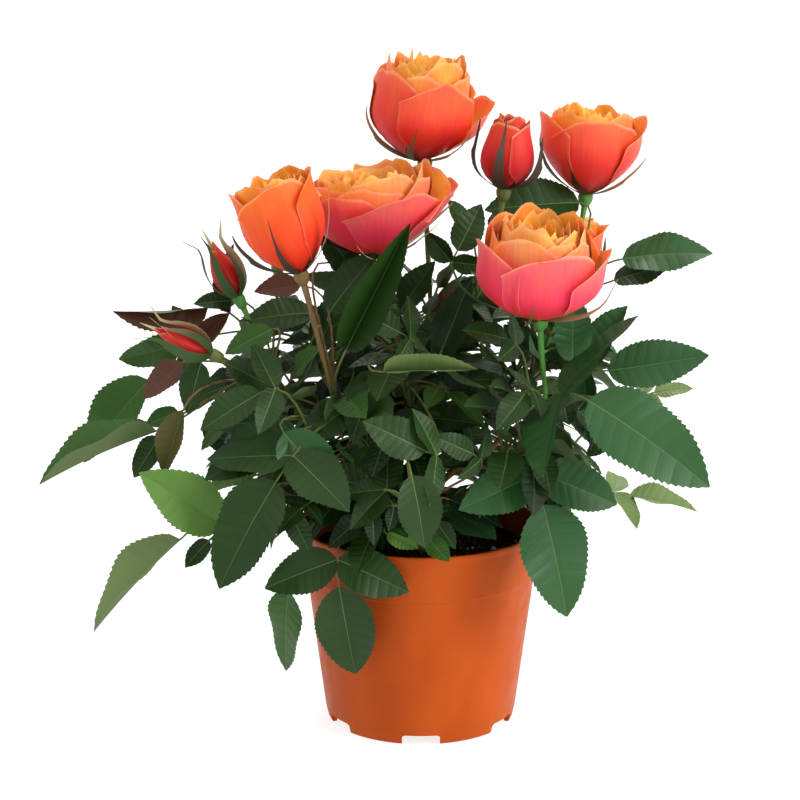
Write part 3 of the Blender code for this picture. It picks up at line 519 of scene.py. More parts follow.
def frames(path, stops, end_side):
    """(point, side, up) at each stop along the path, carried back from its end without a twist."""
    found = []
    side = end_side
    for t in reversed(stops):
        along = path.along(t)
        side = square(side, along)
        found.append((path.point(t), side, side.cross(along)))
    return found[::-1]


def limb_frames(path, steps):
    """(t, frame) at even steps along a path."""
    stops = [i / steps for i in range(steps + 1)]
    return list(zip(stops, frames(path, stops, path.along(1).cross(Vector((0.3, 0.2, 1))))))


def ring(frame, radius, sides):
    centre, side, up = frame
    turns = [2 * pi * j / sides for j in range(sides)]
    return [centre + (side * cos(turn) - up * sin(turn)) * radius for turn in turns]


def level_ring(radius, height, sides):
    return [polar(360 * j / sides, radius, height) for j in range(sides)]


def bands(first, rings, sides):
    """The faces that join rings of points, the first of which starts at an index."""
    faces = []
    for a in range(first, first + (rings - 1) * sides, sides):
        for j in range(sides):
            k = (j + 1) % sides
            faces.append((a + j, a + k, a + sides + k, a + sides + j))
    return faces


def capped(points, sides):
    """(points, faces) of rings of points that are joined, and closed by a flat cap at both ends."""
    faces = bands(0, len(points) // sides, sides)
    return points, faces + [tuple(reversed(range(sides))), tuple(range(len(points) - sides, len(points)))]


def tube(path, radii, sides, steps, grow=0.0):
    """(points, faces) of a closed tube that tapers along the path."""
    points = []
    for t, frame in limb_frames(path, steps):
        points += ring(frame, (blend(radii, t) + grow) * MM, sides)
    return capped(points, sides)


def lathe(profile, sides):
    """(points, faces) of a turned shape from (radius, height)."""
    return capped([point for place in profile for point in level_ring(*place, sides)], sides)


class Blade:
    """One leaflet: its base, its heading and the way its upper face looks."""

    def __init__(self, base, along, normal, length, droop):
        self.base, self.along, self.length, self.droop = base, along, length * MM, droop
        self.normal = square(normal, along)
        self.side = along.cross(self.normal)
        self.width = self.length * BLADE_WIDTH

    def point(self, u, v, lift=0.0):
        """u runs from base to tip, v from edge to edge (-1 to 1)."""
        rise = BLADE_FOLD * abs(v) * self.width / 2 - self.droop * self.length * u * u + lift * MM
        across = self.side * (self.width / 2 * v)
        return self.base + self.along * (self.length * u) + across + self.normal * rise

    def corners(self, grow):
        """Five points round the edge, then the rib's upper and lower one."""
        half = BLADE_THICKNESS / 2 + grow
        spread = 1 + 2 * grow * MM / self.width
        points = [self.point(u, v * spread) for u, v in BLADE_EDGE]
        points[2] += self.along * grow * MM
        return points + [self.point(BLADE_RIB, 0, half), self.point(BLADE_RIB, 0, -half)]

    def tree(self):
        """The leaflet alone, from four points round its base."""
        points = [self.point(0, v, lift) for lift in (0.3, -0.3) for v in (0.05, -0.05)]
        faces = []
        add_blade(points, faces, self, 0, (0, 1, 2, 3))
        return BVHTree.FromPolygons(points, faces)


def add_blade(points, faces, blade, grow, root):
    """Grows a leaflet out of four points already there: upper and lower, on its plus and minus side."""
    upper_plus, upper_minus, lower_plus, lower_minus = root
    first = len(points)
    points += blade.corners(grow)
    edge = list(range(first, first + 5))
    for minus, plus, rib in ((upper_minus, upper_plus, first + 5), (lower_minus, lower_plus, first + 6)):
        loop = list(dict.fromkeys((minus, plus))) + edge
        faces += [(loop[i], loop[(i + 1) % len(loop)], rib) for i in range(len(loop))]
    faces += [(upper_plus, lower_plus, edge[0]), (upper_minus, lower_minus, edge[-1])]


class Spray:
    """A compound leaf: a stalk, an end leaflet and pairs of leaflets set back along the stalk."""

    def __init__(self, root, leaving, joint, along, normal, length, leaflets):
        self.stalk = Path(root, leaving, joint, along)
        self.end = Blade(joint, along, normal, length, END_DROOP)
        self.pairs = []  # from the joint back: (t, left blade, right blade)
        for size, step in list(zip(PAIR_SIZES, PAIR_STEPS))[: (leaflets - 1) // 2]:
            t = 1 - step * length * MM / self.stalk.span
            if t < FIRST_PAIR:
                break
            there = self.stalk.along(t)
            up = square(normal, there)
            ways = [turned(there, up, PAIR_SPREAD * hand) for hand in (1, -1)]
            blades = [Blade(self.stalk.point(t), way, up, length * size, PAIR_DROOP) for way in ways]
            self.pairs.append((t, *blades))

    def blades(self):
        return [self.end] + [blade for pair in self.pairs for blade in pair[1:]]

    def crosses_itself(self):
        """Whether the end leaflet touches one of the pairs."""
        trees = [blade.tree() for blade in self.blades()]
        return any(trees[0].overlap(tree) for tree in trees[1:])

    def solid(self):
        """One closed test shape: a three-sided stalk, each leaflet grown out of its wall or end."""
        nearest = self.pairs[-1][0] if self.pairs else 1.0
        stops = [STALK_TEST, (STALK_TEST + nearest) / 2]
        holds = {}  # which gap between two rings a pair grows from
        half = PAIR_ROOT * MM / self.stalk.span
        for t, left, right in reversed(self.pairs):
            holds[len(stops)] = (left, right)
            stops += [t - half, t + half]
        stops.append(1.0)
        points, faces = [], [(0, 1, 2)]
        for t, (centre, side, up) in zip(stops, frames(self.stalk, stops, self.end.side)):
            radius = (blend(STALK_RADII, t) + TEST_MARGIN) * MM
            wide, high = side * radius * sqrt(0.75), up * radius / 2
            points += [centre - wide + high, centre + wide + high, centre - up * radius]
        for i in range(len(stops) - 1):
            left, right, low = 3 * i, 3 * i + 1, 3 * i + 2
            faces.append((left, left + 3, right + 3, right))
            if i in holds:
                add_blade(points, faces, holds[i][0], TEST_MARGIN, (left + 3, left, low + 3, low))
                add_blade(points, faces, holds[i][1], TEST_MARGIN, (right, right + 3, low, low + 3))
            else:
                faces += [(low, low + 3, left + 3, left), (right, right + 3, low + 3, low)]
        last = 3 * (len(stops) - 1)
        add_blade(points, faces, self.end, TEST_MARGIN, (last + 1, last, last + 2, last + 2))
        return points, faces


def flower_place(flower):
    """The matrix that stands a flower, made upright at the origin, on its hip."""
    turn = UP.rotation_difference(heading(flower.toward, 90 - flower.tilt)).to_matrix().to_4x4()
    return Matrix.Translation(polar(*flower.hip)) @ turn


def flower_profile(flower):
    """(radius, height, depth of the petal lobes) from the hip up the outside and down inside."""
    wide, tall = flower.width / 2, flower.height
    if flower.kind == "bud":
        sides = ((wide * 0.85, tall * 0.35, 0), (wide * 0.7, tall * 0.65, 0))
        return ((3.2, -0.5, 0), (3.2, 2.5, 0), *sides, (0.8, tall, 0))
    rim = wide * FLARE[flower.kind]
    return (
        (4.4, -0.5, 0),
        (4.0, 2.5, 0),
        (wide * 0.66, tall * 0.18, 0.02),
        (wide * 0.98, tall * 0.46, 0.05),
        (rim, tall * 0.76, 0.07),
        (rim * 0.80, tall * 0.95, 0.06),
        (wide * 0.52, tall * 1.0, 0.06),
        (wide * 0.26, tall * 0.88, 0),
    )


def add_sepal(points, faces, flower, place, azimuth, rng, root):
    """Grows a sepal out of four points of the hip's wall: lower a and b, then upper a and b."""
    low_a, low_b, high_a, high_b = root
    rise = rng.uniform(*SEPAL_RISE[flower.kind])
    length = flower.height * 1.1 if flower.kind == "bud" else SEPAL_LENGTH
    out = radial(radians(azimuth), 1, 0)
    side = UP.cross(out) * 3.2

    def middle(u, bend):
        way = radians(rise + bend)
        return out * (3 + length * u * cos(way)) + Vector((0, 0, 1 + length * u * sin(way)))

    broad = middle(0.4, 0)
    a, b, ridge, tip = range(len(points), len(points) + 4)
    points += [place @ (point * MM) for point in (broad - side, broad + side, broad + UP, middle(1, 15))]
    faces += [(low_a, low_b, b, a), (low_b, high_b, b), (high_b, high_a, ridge), (high_b, ridge, b)]
    faces += [(high_a, a, ridge), (high_a, low_a, a), (a, b, tip), (b, ridge, tip), (ridge, a, tip)]


def flower_solid(flower, twig):
    """One closed surface: the twig, the hip with its sepals, and the bloom's cup or the bud."""
    place = flower_place(flower)
    rng = random.Random(f"{SEED} {flower.name}")
    stops = [0, 0.33, 0.66, 1 - TWIG_END * MM / twig.span]
    points = []
    for t, frame in zip(stops, frames(twig, stops, place.to_3x3() @ Vector((1, 0, 0)))):
        points += ring(frame, blend(TWIG_RADII, t) * MM, SEPALS)
    faces = [tuple(reversed(range(SEPALS))), *bands(0, len(stops), SEPALS)]
    neck, first = len(points) - SEPALS, len(points)
    profile = flower_profile(flower)
    lobe_turn = rng.uniform(0, 6)
    for radius, height, lobe in profile:
        for j in range(FLOWER_SIDES):
            swell = 1 + lobe * cos(SEPALS * 2 * pi * j / FLOWER_SIDES + lobe_turn)
            points.append(place @ polar(360 * j / FLOWER_SIDES, radius * swell, height * (2 + swell) / 3))
    for j in range(SEPALS):
        a, b = neck + j, neck + (j + 1) % SEPALS
        out = [first + (3 * j + k) % FLOWER_SIDES for k in range(4)]
        faces += [(a, out[1], out[0]), (a, b, out[2], out[1]), (b, out[3], out[2])]
    hip_walls = [3 * j + 1 for j in range(SEPALS)]
    faces += [face for j, face in enumerate(bands(first, len(profile), FLOWER_SIDES)) if j not in hip_walls]
    faces.append(tuple(range(len(points) - FLOWER_SIDES, len(points))))
    for j in hip_walls:
        root = (first + j, first + j + 1, first + j + FLOWER_SIDES, first + j + 1 + FLOWER_SIDES)
        add_sepal(points, faces, flower, place, 360 * (j + 0.5) / FLOWER_SIDES, rng, root)
    return points, faces


class Space:
    """Everything placed so far. A new piece goes in only where it touches none of it."""

    def __init__(self):
        self.held = []

    def hold(self, shape, owner=None):
        self.held.append((BVHTree.FromPolygons(*shape), owner))

    def is_clear(self, shape, but="nothing"):
        """Whether the shape touches nothing held, other than what one owner holds."""
        tree = BVHTree.FromPolygons(*shape)
        return not any(owner != but and tree.overlap(other) for other, owner in self.held)


def in_crown(point):
    return sum(((point[i] / MM - CROWN_CENTRE[i]) / CROWN_RADII[i]) ** 2 for i in range(3)) < 1


def facing(joint, free):
    """Where an end leaflet's upper face looks: up and out, and toward the viewer unless it is free."""
    outward = Vector((joint.x, joint.y, 0)).normalized()
    if free:
        return Vector((0, 0, 0.8)) + outward * 0.6
    return Vector((0, 0, 0.6)) + outward * 0.25 + heading(VIEWER, 0) * 0.7


def leaving(root, joint):
    """The way a stalk leaves its shoot."""
    return ((joint - root).normalized() * 0.8 + Vector((0, 0, 0.5))).normalized()


def fitted(spray, fit):
    """The compound leaf again, lifted, rolled, lengthened and moved as the photo shows it."""
    root, start, joint, _ = spray.stalk.ends
    end = spray.end
    along = turned(end.along, end.side, fit.lift)
    normal = turned(turned(end.normal, end.side, fit.lift), along, fit.roll)
    length = end.length / MM * fit.stretch
    joint = joint + Vector(fit.shift) * MM
    return Spray(root, start.normalized(), joint, along, normal, length, 1 + 2 * len(spray.pairs))


class Plant:
    """Works out every limb, twig and compound leaf, in the order in which they claim space."""

    def __init__(self):
        self.space = Space()
        self.canes, self.stems, self.twigs, self.wanted = {}, {}, {}, {}
        self.tones = {}  # (tone, fold) of the leaves that the photo places, by mass and number
        self.space.hold(lathe(POT_KEEP_OUT, 24))
        self.place_shoots()
        self.place_skirts()
        self.sprays = {mass: [] for mass in self.stems}
        for mass, paths in self.stems.items():
            for path in paths:
                self.space.hold(tube(path, SHOOT_RADII, *TEST_MESH, TEST_MARGIN), mass)
        for flower in FLOWERS:
            self.place_twig(flower)
        self.place_leaves()
        self.known = {mass: len(sprays) for mass, sprays in self.sprays.items()}
        for leaf in FILL_LEAVES:
            self.fill(leaf)
        for turn in range(FINE_TURNS):
            for mass in self.stems:
                self.grow_fine(mass, turn)

    def place_shoots(self):
        """The canes stand on the short stem in a ring, and the last one in its middle."""
        spacing = 360 / (len(SHOOTS) - 1)
        for i, shoot in enumerate(SHOOTS):
            ring_radius = CANE_RING if i < len(SHOOTS) - 1 else 0
            foot = polar((i - 1) * spacing, ring_radius, STEM_TOP + SEAT_GAP)
            fork, tip = polar(*shoot.fork), polar(*shoot.tip)
            rising = (tip - fork).normalized()
            cane = Path(foot, UP, fork, rising)
            self.canes["cane_" + shoot.name] = cane
            self.space.hold(tube(cane, CANE_RADII, 6, 6, TEST_MARGIN))
            mass = "foliage_" + shoot.name
            hips = [polar(*flower.hip) for flower in FLOWERS if flower.shoot == shoot.name]
            main = Path(fork + rising * SEAT_GAP * MM, rising, tip, (hips[0] - tip).normalized())
            self.stems[mass], self.wanted[mass] = [main], shoot.leaves
            for side_tip, hip in zip(shoot.side_tips, hips[1:]):
                end = polar(*side_tip)
                side = Path(main.point(SIDE_SHOOT), main.along(SIDE_SHOOT), end, (hip - end).normalized())
                self.stems[mass].append(side)

    def place_skirts(self):
        """Each skirt shoot starts square to a flat side of the short stem."""
        facet = 360 / STEM_SIDES
        flat = STEM_RADIUS * cos(pi / STEM_SIDES)
        for skirt in SKIRTS:
            azimuth = (round(skirt.azimuth / facet - 0.5) + 0.5) * facet
            start = polar(azimuth, flat + SEAT_GAP, STEM_TOP - SKIRT_DROP)
            tip = polar(skirt.azimuth, skirt.reach, skirt.height)
            path = Path(start, heading(azimuth, 0), tip, heading(skirt.azimuth, 0))
            self.stems["skirt_" + skirt.name] = [path]
            self.wanted["skirt_" + skirt.name] = skirt.leaves

    def place_twig(self, flower):
        path = self.stems["foliage_" + flower.shoot][flower.tip]
        foot = path.point(1) + path.along(1) * SEAT_GAP * MM
        place = flower_place(flower)
        twig = Path(foot, path.along(1), place.translation, place.to_3x3() @ UP)
        self.twigs[flower.name] = twig
        self.space.hold(flower_solid(flower, twig))

    def place_leaves(self):
        """The leaves that the photo shows come first, then the unnamed ones, one a shoot in turn."""
        places = []
        for number, leaf in enumerate(NAMED_LEAVES):
            places.append((leaf.mass, len(self.sprays[leaf.mass])))
            self.tones[places[-1]] = (leaf.tone, NAMED_FOLDS.get(number))
            self.grow_named(leaf, random.Random(SEED * 1000 + number))
        for turn in range(max(self.wanted.values())):
            for mass, count in self.wanted.items():
                if turn < count:
                    self.grow_unnamed(mass, turn, count)
        for number, fit in FITS.items():
            mass, place = places[number]
            self.sprays[mass][place] = fitted(self.sprays[mass][place], fit)

    def grow_named(self, leaf, rng):
        """Tries the leaf at its place, then a little further and further from it."""
        paths = self.stems[leaf.mass]
        for attempt in range(TRIES):
            loose = attempt * LOOSER
            root = paths[attempt % len(paths)].point(leaf.at - ROOT_STEP * attempt)
            joint = polar(leaf.azimuth, leaf.reach, leaf.height)
            joint += Vector([rng.uniform(-loose, loose) for _ in range(3)]) * MM
            yaw = leaf.yaw + rng.uniform(-loose, loose) * LOOSE_HEADING
            along = heading(yaw, leaf.pitch + rng.uniform(-loose, loose) * LOOSE_HEADING)
            roll = leaf.roll + rng.uniform(-loose, loose) * LOOSE_ROLL
            if self.try_spray(leaf.mass, root, joint, along, roll, leaf.length, leaf.leaflets, False):
                return

    def grow_unnamed(self, mass, turn, count):
        rng = random.Random(f"{SEED} {mass} {turn}")
        path = self.stems[mass][0]
        low = mass.startswith("skirt")
        first, last = SKIRT_PART if low else SHOOT_PART
        end = path.point(1)
        outward = degrees(atan2(end.y, end.x))
        for attempt in range(TRIES):
            t = (turn + 0.7 + rng.uniform(-0.4, 0.4)) / count
            root = path.point(min(last, max(first, t)))
            azimuth = outward + (turn * LEAF_TURN % LEAF_SIDES) - LEAF_SIDES / 2 + rng.uniform(-45, 45)
            pitch = rng.uniform(-25, 25) if low else rng.uniform(-15, 50)
            stalk = rng.uniform(*STALKS) * (1 - STALK_SHRINK * attempt)
            length = rng.uniform(*LENGTHS) * (1 - LENGTH_SHRINK * attempt)
            joint = root + heading(azimuth, pitch + 12) * stalk * MM
            along = heading(azimuth, pitch - rng.uniform(10, 45))
            leaflets = 5 if stalk > LONG_STALK else 3
            if self.try_spray(mass, root, joint, along, rng.uniform(-20, 20), length, leaflets, True):
                return

    def grow_fine(self, mass, turn):
        """A finer compound leaf, in the room that is left."""
        rng = random.Random(f"{SEED} fine {mass} {turn}")
        low = mass.startswith("skirt")
        for _ in range(FINE_TRIES):
            path = rng.choice(self.stems[mass])
            root = path.point(rng.uniform(*(FINE_SKIRT_PART if low else FINE_SHOOT_PART)))
            azimuth = rng.uniform(0, 360)
            pitch = rng.uniform(-25, 40) if low else rng.uniform(-30, 60)
            joint = root + heading(azimuth, pitch) * rng.uniform(*FINE_STALKS) * MM
            along = heading(azimuth + rng.uniform(-30, 30), pitch - rng.uniform(5, 50))
            length, leaflets = rng.uniform(*FINE_LENGTHS), rng.choice((1, 3, 5))
            tip = joint + along * length * MM
            if tip.z < SOIL_CLEAR * MM and hypot(tip.x, tip.y) < RIM_RADIUS * MM:
                continue
            if self.try_spray(mass, root, joint, along, rng.uniform(-30, 30), length, leaflets, True):
                return

    def try_spray(self, mass, root, joint, along, roll, length, leaflets, free):
        normal = turned(square(facing(joint, free), along), along, roll)
        spray = Spray(root, leaving(root, joint), joint, along, normal, length, leaflets)
        if free and not all(in_crown(blade.point(1, 0)) for blade in spray.blades()):
            return False
        body = spray.solid()
        root_end = tube(spray.stalk, STALK_RADII, *TEST_MESH, TEST_MARGIN)
        if not (self.space.is_clear(body) and self.space.is_clear(root_end, but=mass)):
            return False
        if spray.crosses_itself():
            return False
        self.space.hold(body)
        self.space.hold(root_end, mass)
        self.sprays[mass].append(spray)
        return True

    def fill(self, leaf):
        joint = polar(leaf.azimuth, leaf.reach, leaf.height)
        along = heading(leaf.yaw, leaf.pitch)
        roots = [path.point(leaf.at) for path in self.stems[leaf.mass]]
        root = min(roots, key=lambda place: (place - joint).length)
        face = facing(joint, False)
        spray = Spray(root, leaving(root, joint), joint, along, face, leaf.length, leaf.leaflets)
        self.tones[(leaf.mass, len(self.sprays[leaf.mass]))] = (leaf.tone, None)
        self.space.hold(spray.solid())
        self.sprays[leaf.mass].append(spray)


# ==== joined meshes ====


def srgb(shown):
    """A linear colour from the red, green and blue, 0 to 255, that a screen shows."""
    return tuple((c / 255 / 12.92) if c < 11 else ((c / 255 + 0.055) / 1.055) ** 2.4 for c in shown)


def put(name, data):
    """A new object in the scene."""
    made = bpy.data.objects.new(name, data)
    bpy.context.scene.collection.objects.link(made)
    return made


class Heap:
    """Points and faces of many small shapes that become one mesh."""

    def __init__(self):
        self.points, self.faces, self.slots, self.tints, self.maps = [], [], [], [], []
        self.count = 0

    def add(self, points, faces, slots, tints=None, maps=None):
        """slots is one material index or a list of one a face; tints are colours of the points."""
        self.points.append(np.array(points))
        self.faces += [tuple(self.count + i for i in face) for face in faces]
        self.slots += [slots] * len(faces) if isinstance(slots, int) else slots
        self.count += len(points)
        self.tints.append(tints)
        self.maps.append(maps)

    def make(self, name, looks, sharp=SHARP, layer_name="OFBake"):
        mesh = bpy.data.meshes.new(name)
        mesh.from_pydata(np.concatenate(self.points).tolist(), [], self.faces)
        for look in looks:
            mesh.materials.append(look)
        mesh.polygons.foreach_set("material_index", self.slots)
        if self.tints[0] is not None:
            tint = mesh.color_attributes.new("tint", "FLOAT_COLOR", "POINT")
            colours = np.concatenate(self.tints)
            tint.data.foreach_set("color", np.c_[colours, np.ones(len(colours))].ravel())
        if self.maps[0] is not None:
            layer = mesh.uv_layers.new(name=layer_name)
            layer.data.foreach_set("uv", np.concatenate(self.maps).ravel())
        mesh.shade_smooth()
        mesh.set_sharp_from_angle(angle=radians(sharp))
        return put(name, mesh)


def finish_piece(piece, node):
    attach(piece, "root")
    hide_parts(node)


# ==== looks ====


class Nodes:
    """Short calls for the nodes of a material or the world; "end" is the one that they feed."""

    def __init__(self, owner, end):
        owner.use_nodes = True
        self.owner, self.tree = owner, owner.node_tree
        self.end = self.tree.nodes[end]

    def node(self, kind, **inputs):
        made = self.tree.nodes.new("ShaderNode" + kind)
        for socket, value in inputs.items():
            self.feed(made.inputs[socket.replace("_", " ")], value)
        return made

    def feed(self, socket, value):
        if isinstance(value, bpy.types.NodeSocket):
            self.tree.links.new(value, socket)
        else:
            socket.default_value = value

    def set(self, socket, value):
        self.feed(self.end.inputs[socket], value)

    def noise(self, scale, detail=3.0, squeeze=(1, 1, 1), place=None):
        place = place or self.node("TexCoord").outputs["Object"]
        mapped = self.node("Mapping", Vector=place, Scale=squeeze).outputs[0]
        return self.node("TexNoise", Vector=mapped, Scale=scale, Detail=detail).outputs["Fac"]

    def uv(self, layer):
        made = self.node("UVMap")
        made.uv_map = layer
        return made.outputs["UV"]

    def calc(self, operation, first, second=0.0):
        made = self.node("Math")
        made.operation = operation
        self.feed(made.inputs[0], first)
        self.feed(made.inputs[1], second)
        return made.outputs[0]

    def multiply(self, share, first, second):
        made = self.node("MixRGB", Fac=share, Color1=first, Color2=second)
        made.blend_type = "MULTIPLY"
        return made.outputs["Color"]

    def ramp(self, value, *stops):
        """Colours (or numbers, as greys) at places along a value."""
        made = self.node("ValToRGB", Fac=value)
        elements = made.color_ramp.elements
        while len(elements) < len(stops):
            elements.new(0.5)
        for element, (place, colour) in zip(elements, stops):
            element.position = place
            element.color = (*colour, 1) if isinstance(colour, tuple) else (colour, colour, colour, 1)
        return made.outputs["Color"]

    def bump(self, value, strength, distance):
        self.set("Normal", self.node("Bump", Height=value, Strength=strength, Distance=distance).outputs[0])


def new_look(name, colour, roughness, **sockets):
    look = Nodes(bpy.data.materials.new(name), "Principled BSDF")
    look.set("Base Color", (*colour, 1))
    look.set("Roughness", roughness)
    for socket, value in sockets.items():
        look.set(socket.replace("_", " "), value)
    return look


def leaf_look(name, colour, roughness, relief=0.2):
    """Leaf: one plain colour, dealt out by spray; its side veins are sunk a little between bulges."""
    look = new_look(name, srgb(colour), roughness, Specular_IOR_Level=0.27)
    parts = look.node("SeparateXYZ", Vector=look.uv("leaf")).outputs
    wave = look.calc("SINE", look.calc("MULTIPLY", parts["X"], pi * SIDE_VEINS))
    bulge = look.calc("POWER", look.calc("ABSOLUTE", wave), 0.6)
    across = look.calc("ABSOLUTE", look.calc("SUBTRACT", parts["Y"], 0.5))
    inner = look.calc("MINIMUM", look.calc("MULTIPLY", across, 9.0), 1.0)
    fine = look.calc("MULTIPLY", look.noise(1100.0, 2.0), 0.5)
    look.bump(look.calc("ADD", look.calc("MULTIPLY", bulge, inner), fine), relief, VEIN_RELIEF)
    return look.owner


def petal_look():
    """Petal: the points' own tint, with faint streaks that run up the petal."""
    look = new_look("petal", srgb((240, 90, 50)), 0.5, Specular_IOR_Level=0.22, Sheen_Weight=0.06)
    look.set("Sheen Roughness", 0.4)
    look.set("Subsurface Weight", 0.12)
    look.set("Subsurface Radius", (1.0, 0.35, 0.12))
    look.set("Subsurface Scale", 0.002)
    tint = look.node("VertexColor")
    tint.layer_name = "tint"
    streaks = look.noise(1.0, 2.0, (420, 26, 1), look.uv("OFBake"))
    shades = look.ramp(streaks, (0.3, (0.86, 0.72, 0.72)), (0.62, (1.0, 1.0, 1.0)))
    patches = look.ramp(look.noise(70.0), (0.36, (1.0, 0.80, 1.05)), (0.62, (1.0, 1.10, 0.86)))
    look.set("Base Color", look.multiply(0.8, look.multiply(0.5, tint.outputs["Color"], shades), patches))
    look.bump(streaks, 0.25, 0.0006)
    return look.owner


def grainy_look(name, roughness, noise, relief, *stops, **sockets):
    """A look whose colour and relief follow one noise."""
    stops = [(place, srgb(colour)) for place, colour in stops]
    look = new_look(name, stops[0][1], roughness, **sockets)
    grain = look.noise(*noise)
    look.set("Base Color", look.ramp(grain, *stops))
    look.bump(grain, *relief)
    return look.owner


def stem_look(name, low, high):
    noise, relief = (260.0, 4.0, (1, 1, 0.15)), (0.5, 0.0008)
    return grainy_look("stem_" + name, 0.5, noise, relief, (0.32, low), (0.68, high), Specular_IOR_Level=0.4)


def soil_look(name, dark, light):
    noise, relief = (700.0, 6.0), (1.0, 0.002)
    return grainy_look(name, 0.95, noise, relief, (0.35, dark), (0.7, light), Specular_IOR_Level=0.2)


def bark_look():
    noise, relief = (340.0, 6.0, (1, 1, 0.25)), (0.9, 0.002)
    stops = ((0.3, (52, 40, 26)), (0.5, (104, 84, 52)), (0.72, (150, 128, 88)))
    return grainy_look("bark", 0.85, noise, relief, *stops)


def pot_look():
    """Moulded terracotta-coloured plastic: satin, faintly mottled, with fine dust and scuffs."""
    look = new_look("pot_plastic", srgb((214, 104, 48)), 0.5, Specular_IOR_Level=0.1)
    colours = ((0.25, (168, 66, 12)), (0.5, (178, 74, 16)), (0.78, (188, 83, 22)))
    mottle = look.noise(38.0, 5.0, (1, 1, 0.5))
    look.set("Base Color", look.ramp(mottle, *[(place, srgb(colour)) for place, colour in colours]))
    look.set("Roughness", look.ramp(look.noise(120.0, 5.0), (0.3, 0.36), (0.7, 0.56)))
    look.bump(look.noise(900.0, 4.0), 0.16, 0.0005)
    return look.owner


# ==== leaves ====


def outline(u):
    """Half the width of a leaflet at u, of its greatest half width: round base, drawn-out tip."""
    return 2.62 * np.clip(u, 0, 1) ** 0.58 * np.clip(1 - u, 0, 1) ** 0.85


def tooth_rows(teeth):
    """How far up a leaflet each row across it lies: at a notch, then at a tooth's point."""
    row = np.arange(2 * teeth + 1)
    return (row // 2 + TOOTH_LEAN * (row % 2)) / teeth


@functools.cache
def leaflet_faces(teeth):
    """(faces, kinds, map) of a leaflet: kind 0 is its upper side, 1 its rib and 2 its underside."""
    faces, kinds = [], []
    under = (0, 6, 7, 8, 5)
    last = 2 * teeth * LEAF_ROW
    for a in range(0, last, LEAF_ROW):
        b = a + LEAF_ROW
        faces += [(a + k, b + k, b + k + 1, a + k + 1) for k in range(5)]
        faces += [(a + left, a + right, b + right, b + left) for left, right in zip(under, under[1:])]
        kinds += [0, 0, 1, 0, 0, 2, 2, 2, 2]
    cap = (0, 1, 2, 3, 4, 5, 8, 7, 6)
    faces += [cap, tuple(last + i for i in reversed(cap))]
    u = np.repeat(tooth_rows(teeth), LEAF_ROW)
    v = np.tile((1, 0.75, 0.53, 0.47, 0.25, 0, 0.75, 0.5, 0.25), 2 * teeth + 1)
    maps = np.stack([u, v], axis=1)[[index for face in faces for index in face]]
    return faces, kinds + [2, 2], maps


def leaflet_points(blade, teeth, fold, free, rng):
    """Nine points a row: edge, middle, rib, rib, middle, edge above, then three below."""
    edge_u = tooth_rows(teeth)
    broad = blade.width / 2
    half = np.maximum(outline(edge_u) * rng.uniform(0.9, 1.04), 0.02)
    out = np.where(np.arange(len(edge_u)) % 2, 1, -1) * TOOTH_DEPTH * blade.length / broad
    half = half + out * np.sin(np.pi * edge_u) ** 0.3
    rib_u = edge_u**VEIN_LEAN
    middle_u = (rib_u + edge_u) / 2
    rib = RIB_HALF * MM / broad * (1.05 - 0.8 * rib_u)
    zero = np.zeros(len(edge_u))
    veins = np.abs(np.sin(np.pi * SIDE_VEINS * edge_u)) - 0.5
    pleat = LEAF_PLEAT * blade.length * veins * np.sin(np.pi * edge_u) ** 0.5
    thick = LEAF_THICKNESS * MM
    columns = (
        (edge_u, half, zero),
        (middle_u, half / 2, pleat),
        (rib_u, rib, zero),
        (rib_u, -rib, zero),
        (middle_u, -half / 2, pleat),
        (edge_u, -half, zero),
        (middle_u, half / 2, pleat - thick),
        (rib_u, zero, -2.2 * thick * (1.1 - rib_u)),
        (middle_u, -half / 2, pleat - thick),
    )
    u, v, lift = (np.stack([column[i] for column in columns], axis=1) for i in range(3))
    wave = rng.uniform(0, 6)
    twist = rng.uniform(-0.35, 0.35) * free
    bend = rng.uniform(-0.09, 0.09) * free
    droop = blade.droop * blade.length * (1 + rng.uniform(-0.2, 1.4) * free)
    across = v * blade.width / 2 * cos(fold)
    rise = np.abs(v) * blade.width / 2 * sin(fold)
    rise -= blade.width * FOLD_ROUND * v * v
    rise += lift - droop * u * u + twist * u * across
    rise += EDGE_WAVE * blade.width * np.sin(8 * u + wave + 1.3 * np.sign(v)) * v * v
    parts = (u * blade.length, across + bend * blade.length * u * u, rise)
    axes = (blade.along, blade.side, blade.normal)
    points = sum(part[..., None] * np.array(axis) for part, axis in zip(parts, axes))
    return (points + np.array(blade.base)).reshape(-1, 3)


def leaf_tone(spray, fine, rng):
    """The tone of a compound leaf: only the outer ones may be young and lighter; inner and fine ones take
    darker tones, partly older leaves and partly painted shade.
    """
    place = spray.end.base
    young = hypot(place.x, place.y) > YOUNG_REACH * MM
    return rng.choice(FINE_SHADED_TONES if fine else YOUNG_TONES if young else OLD_AND_SHADED_TONES)


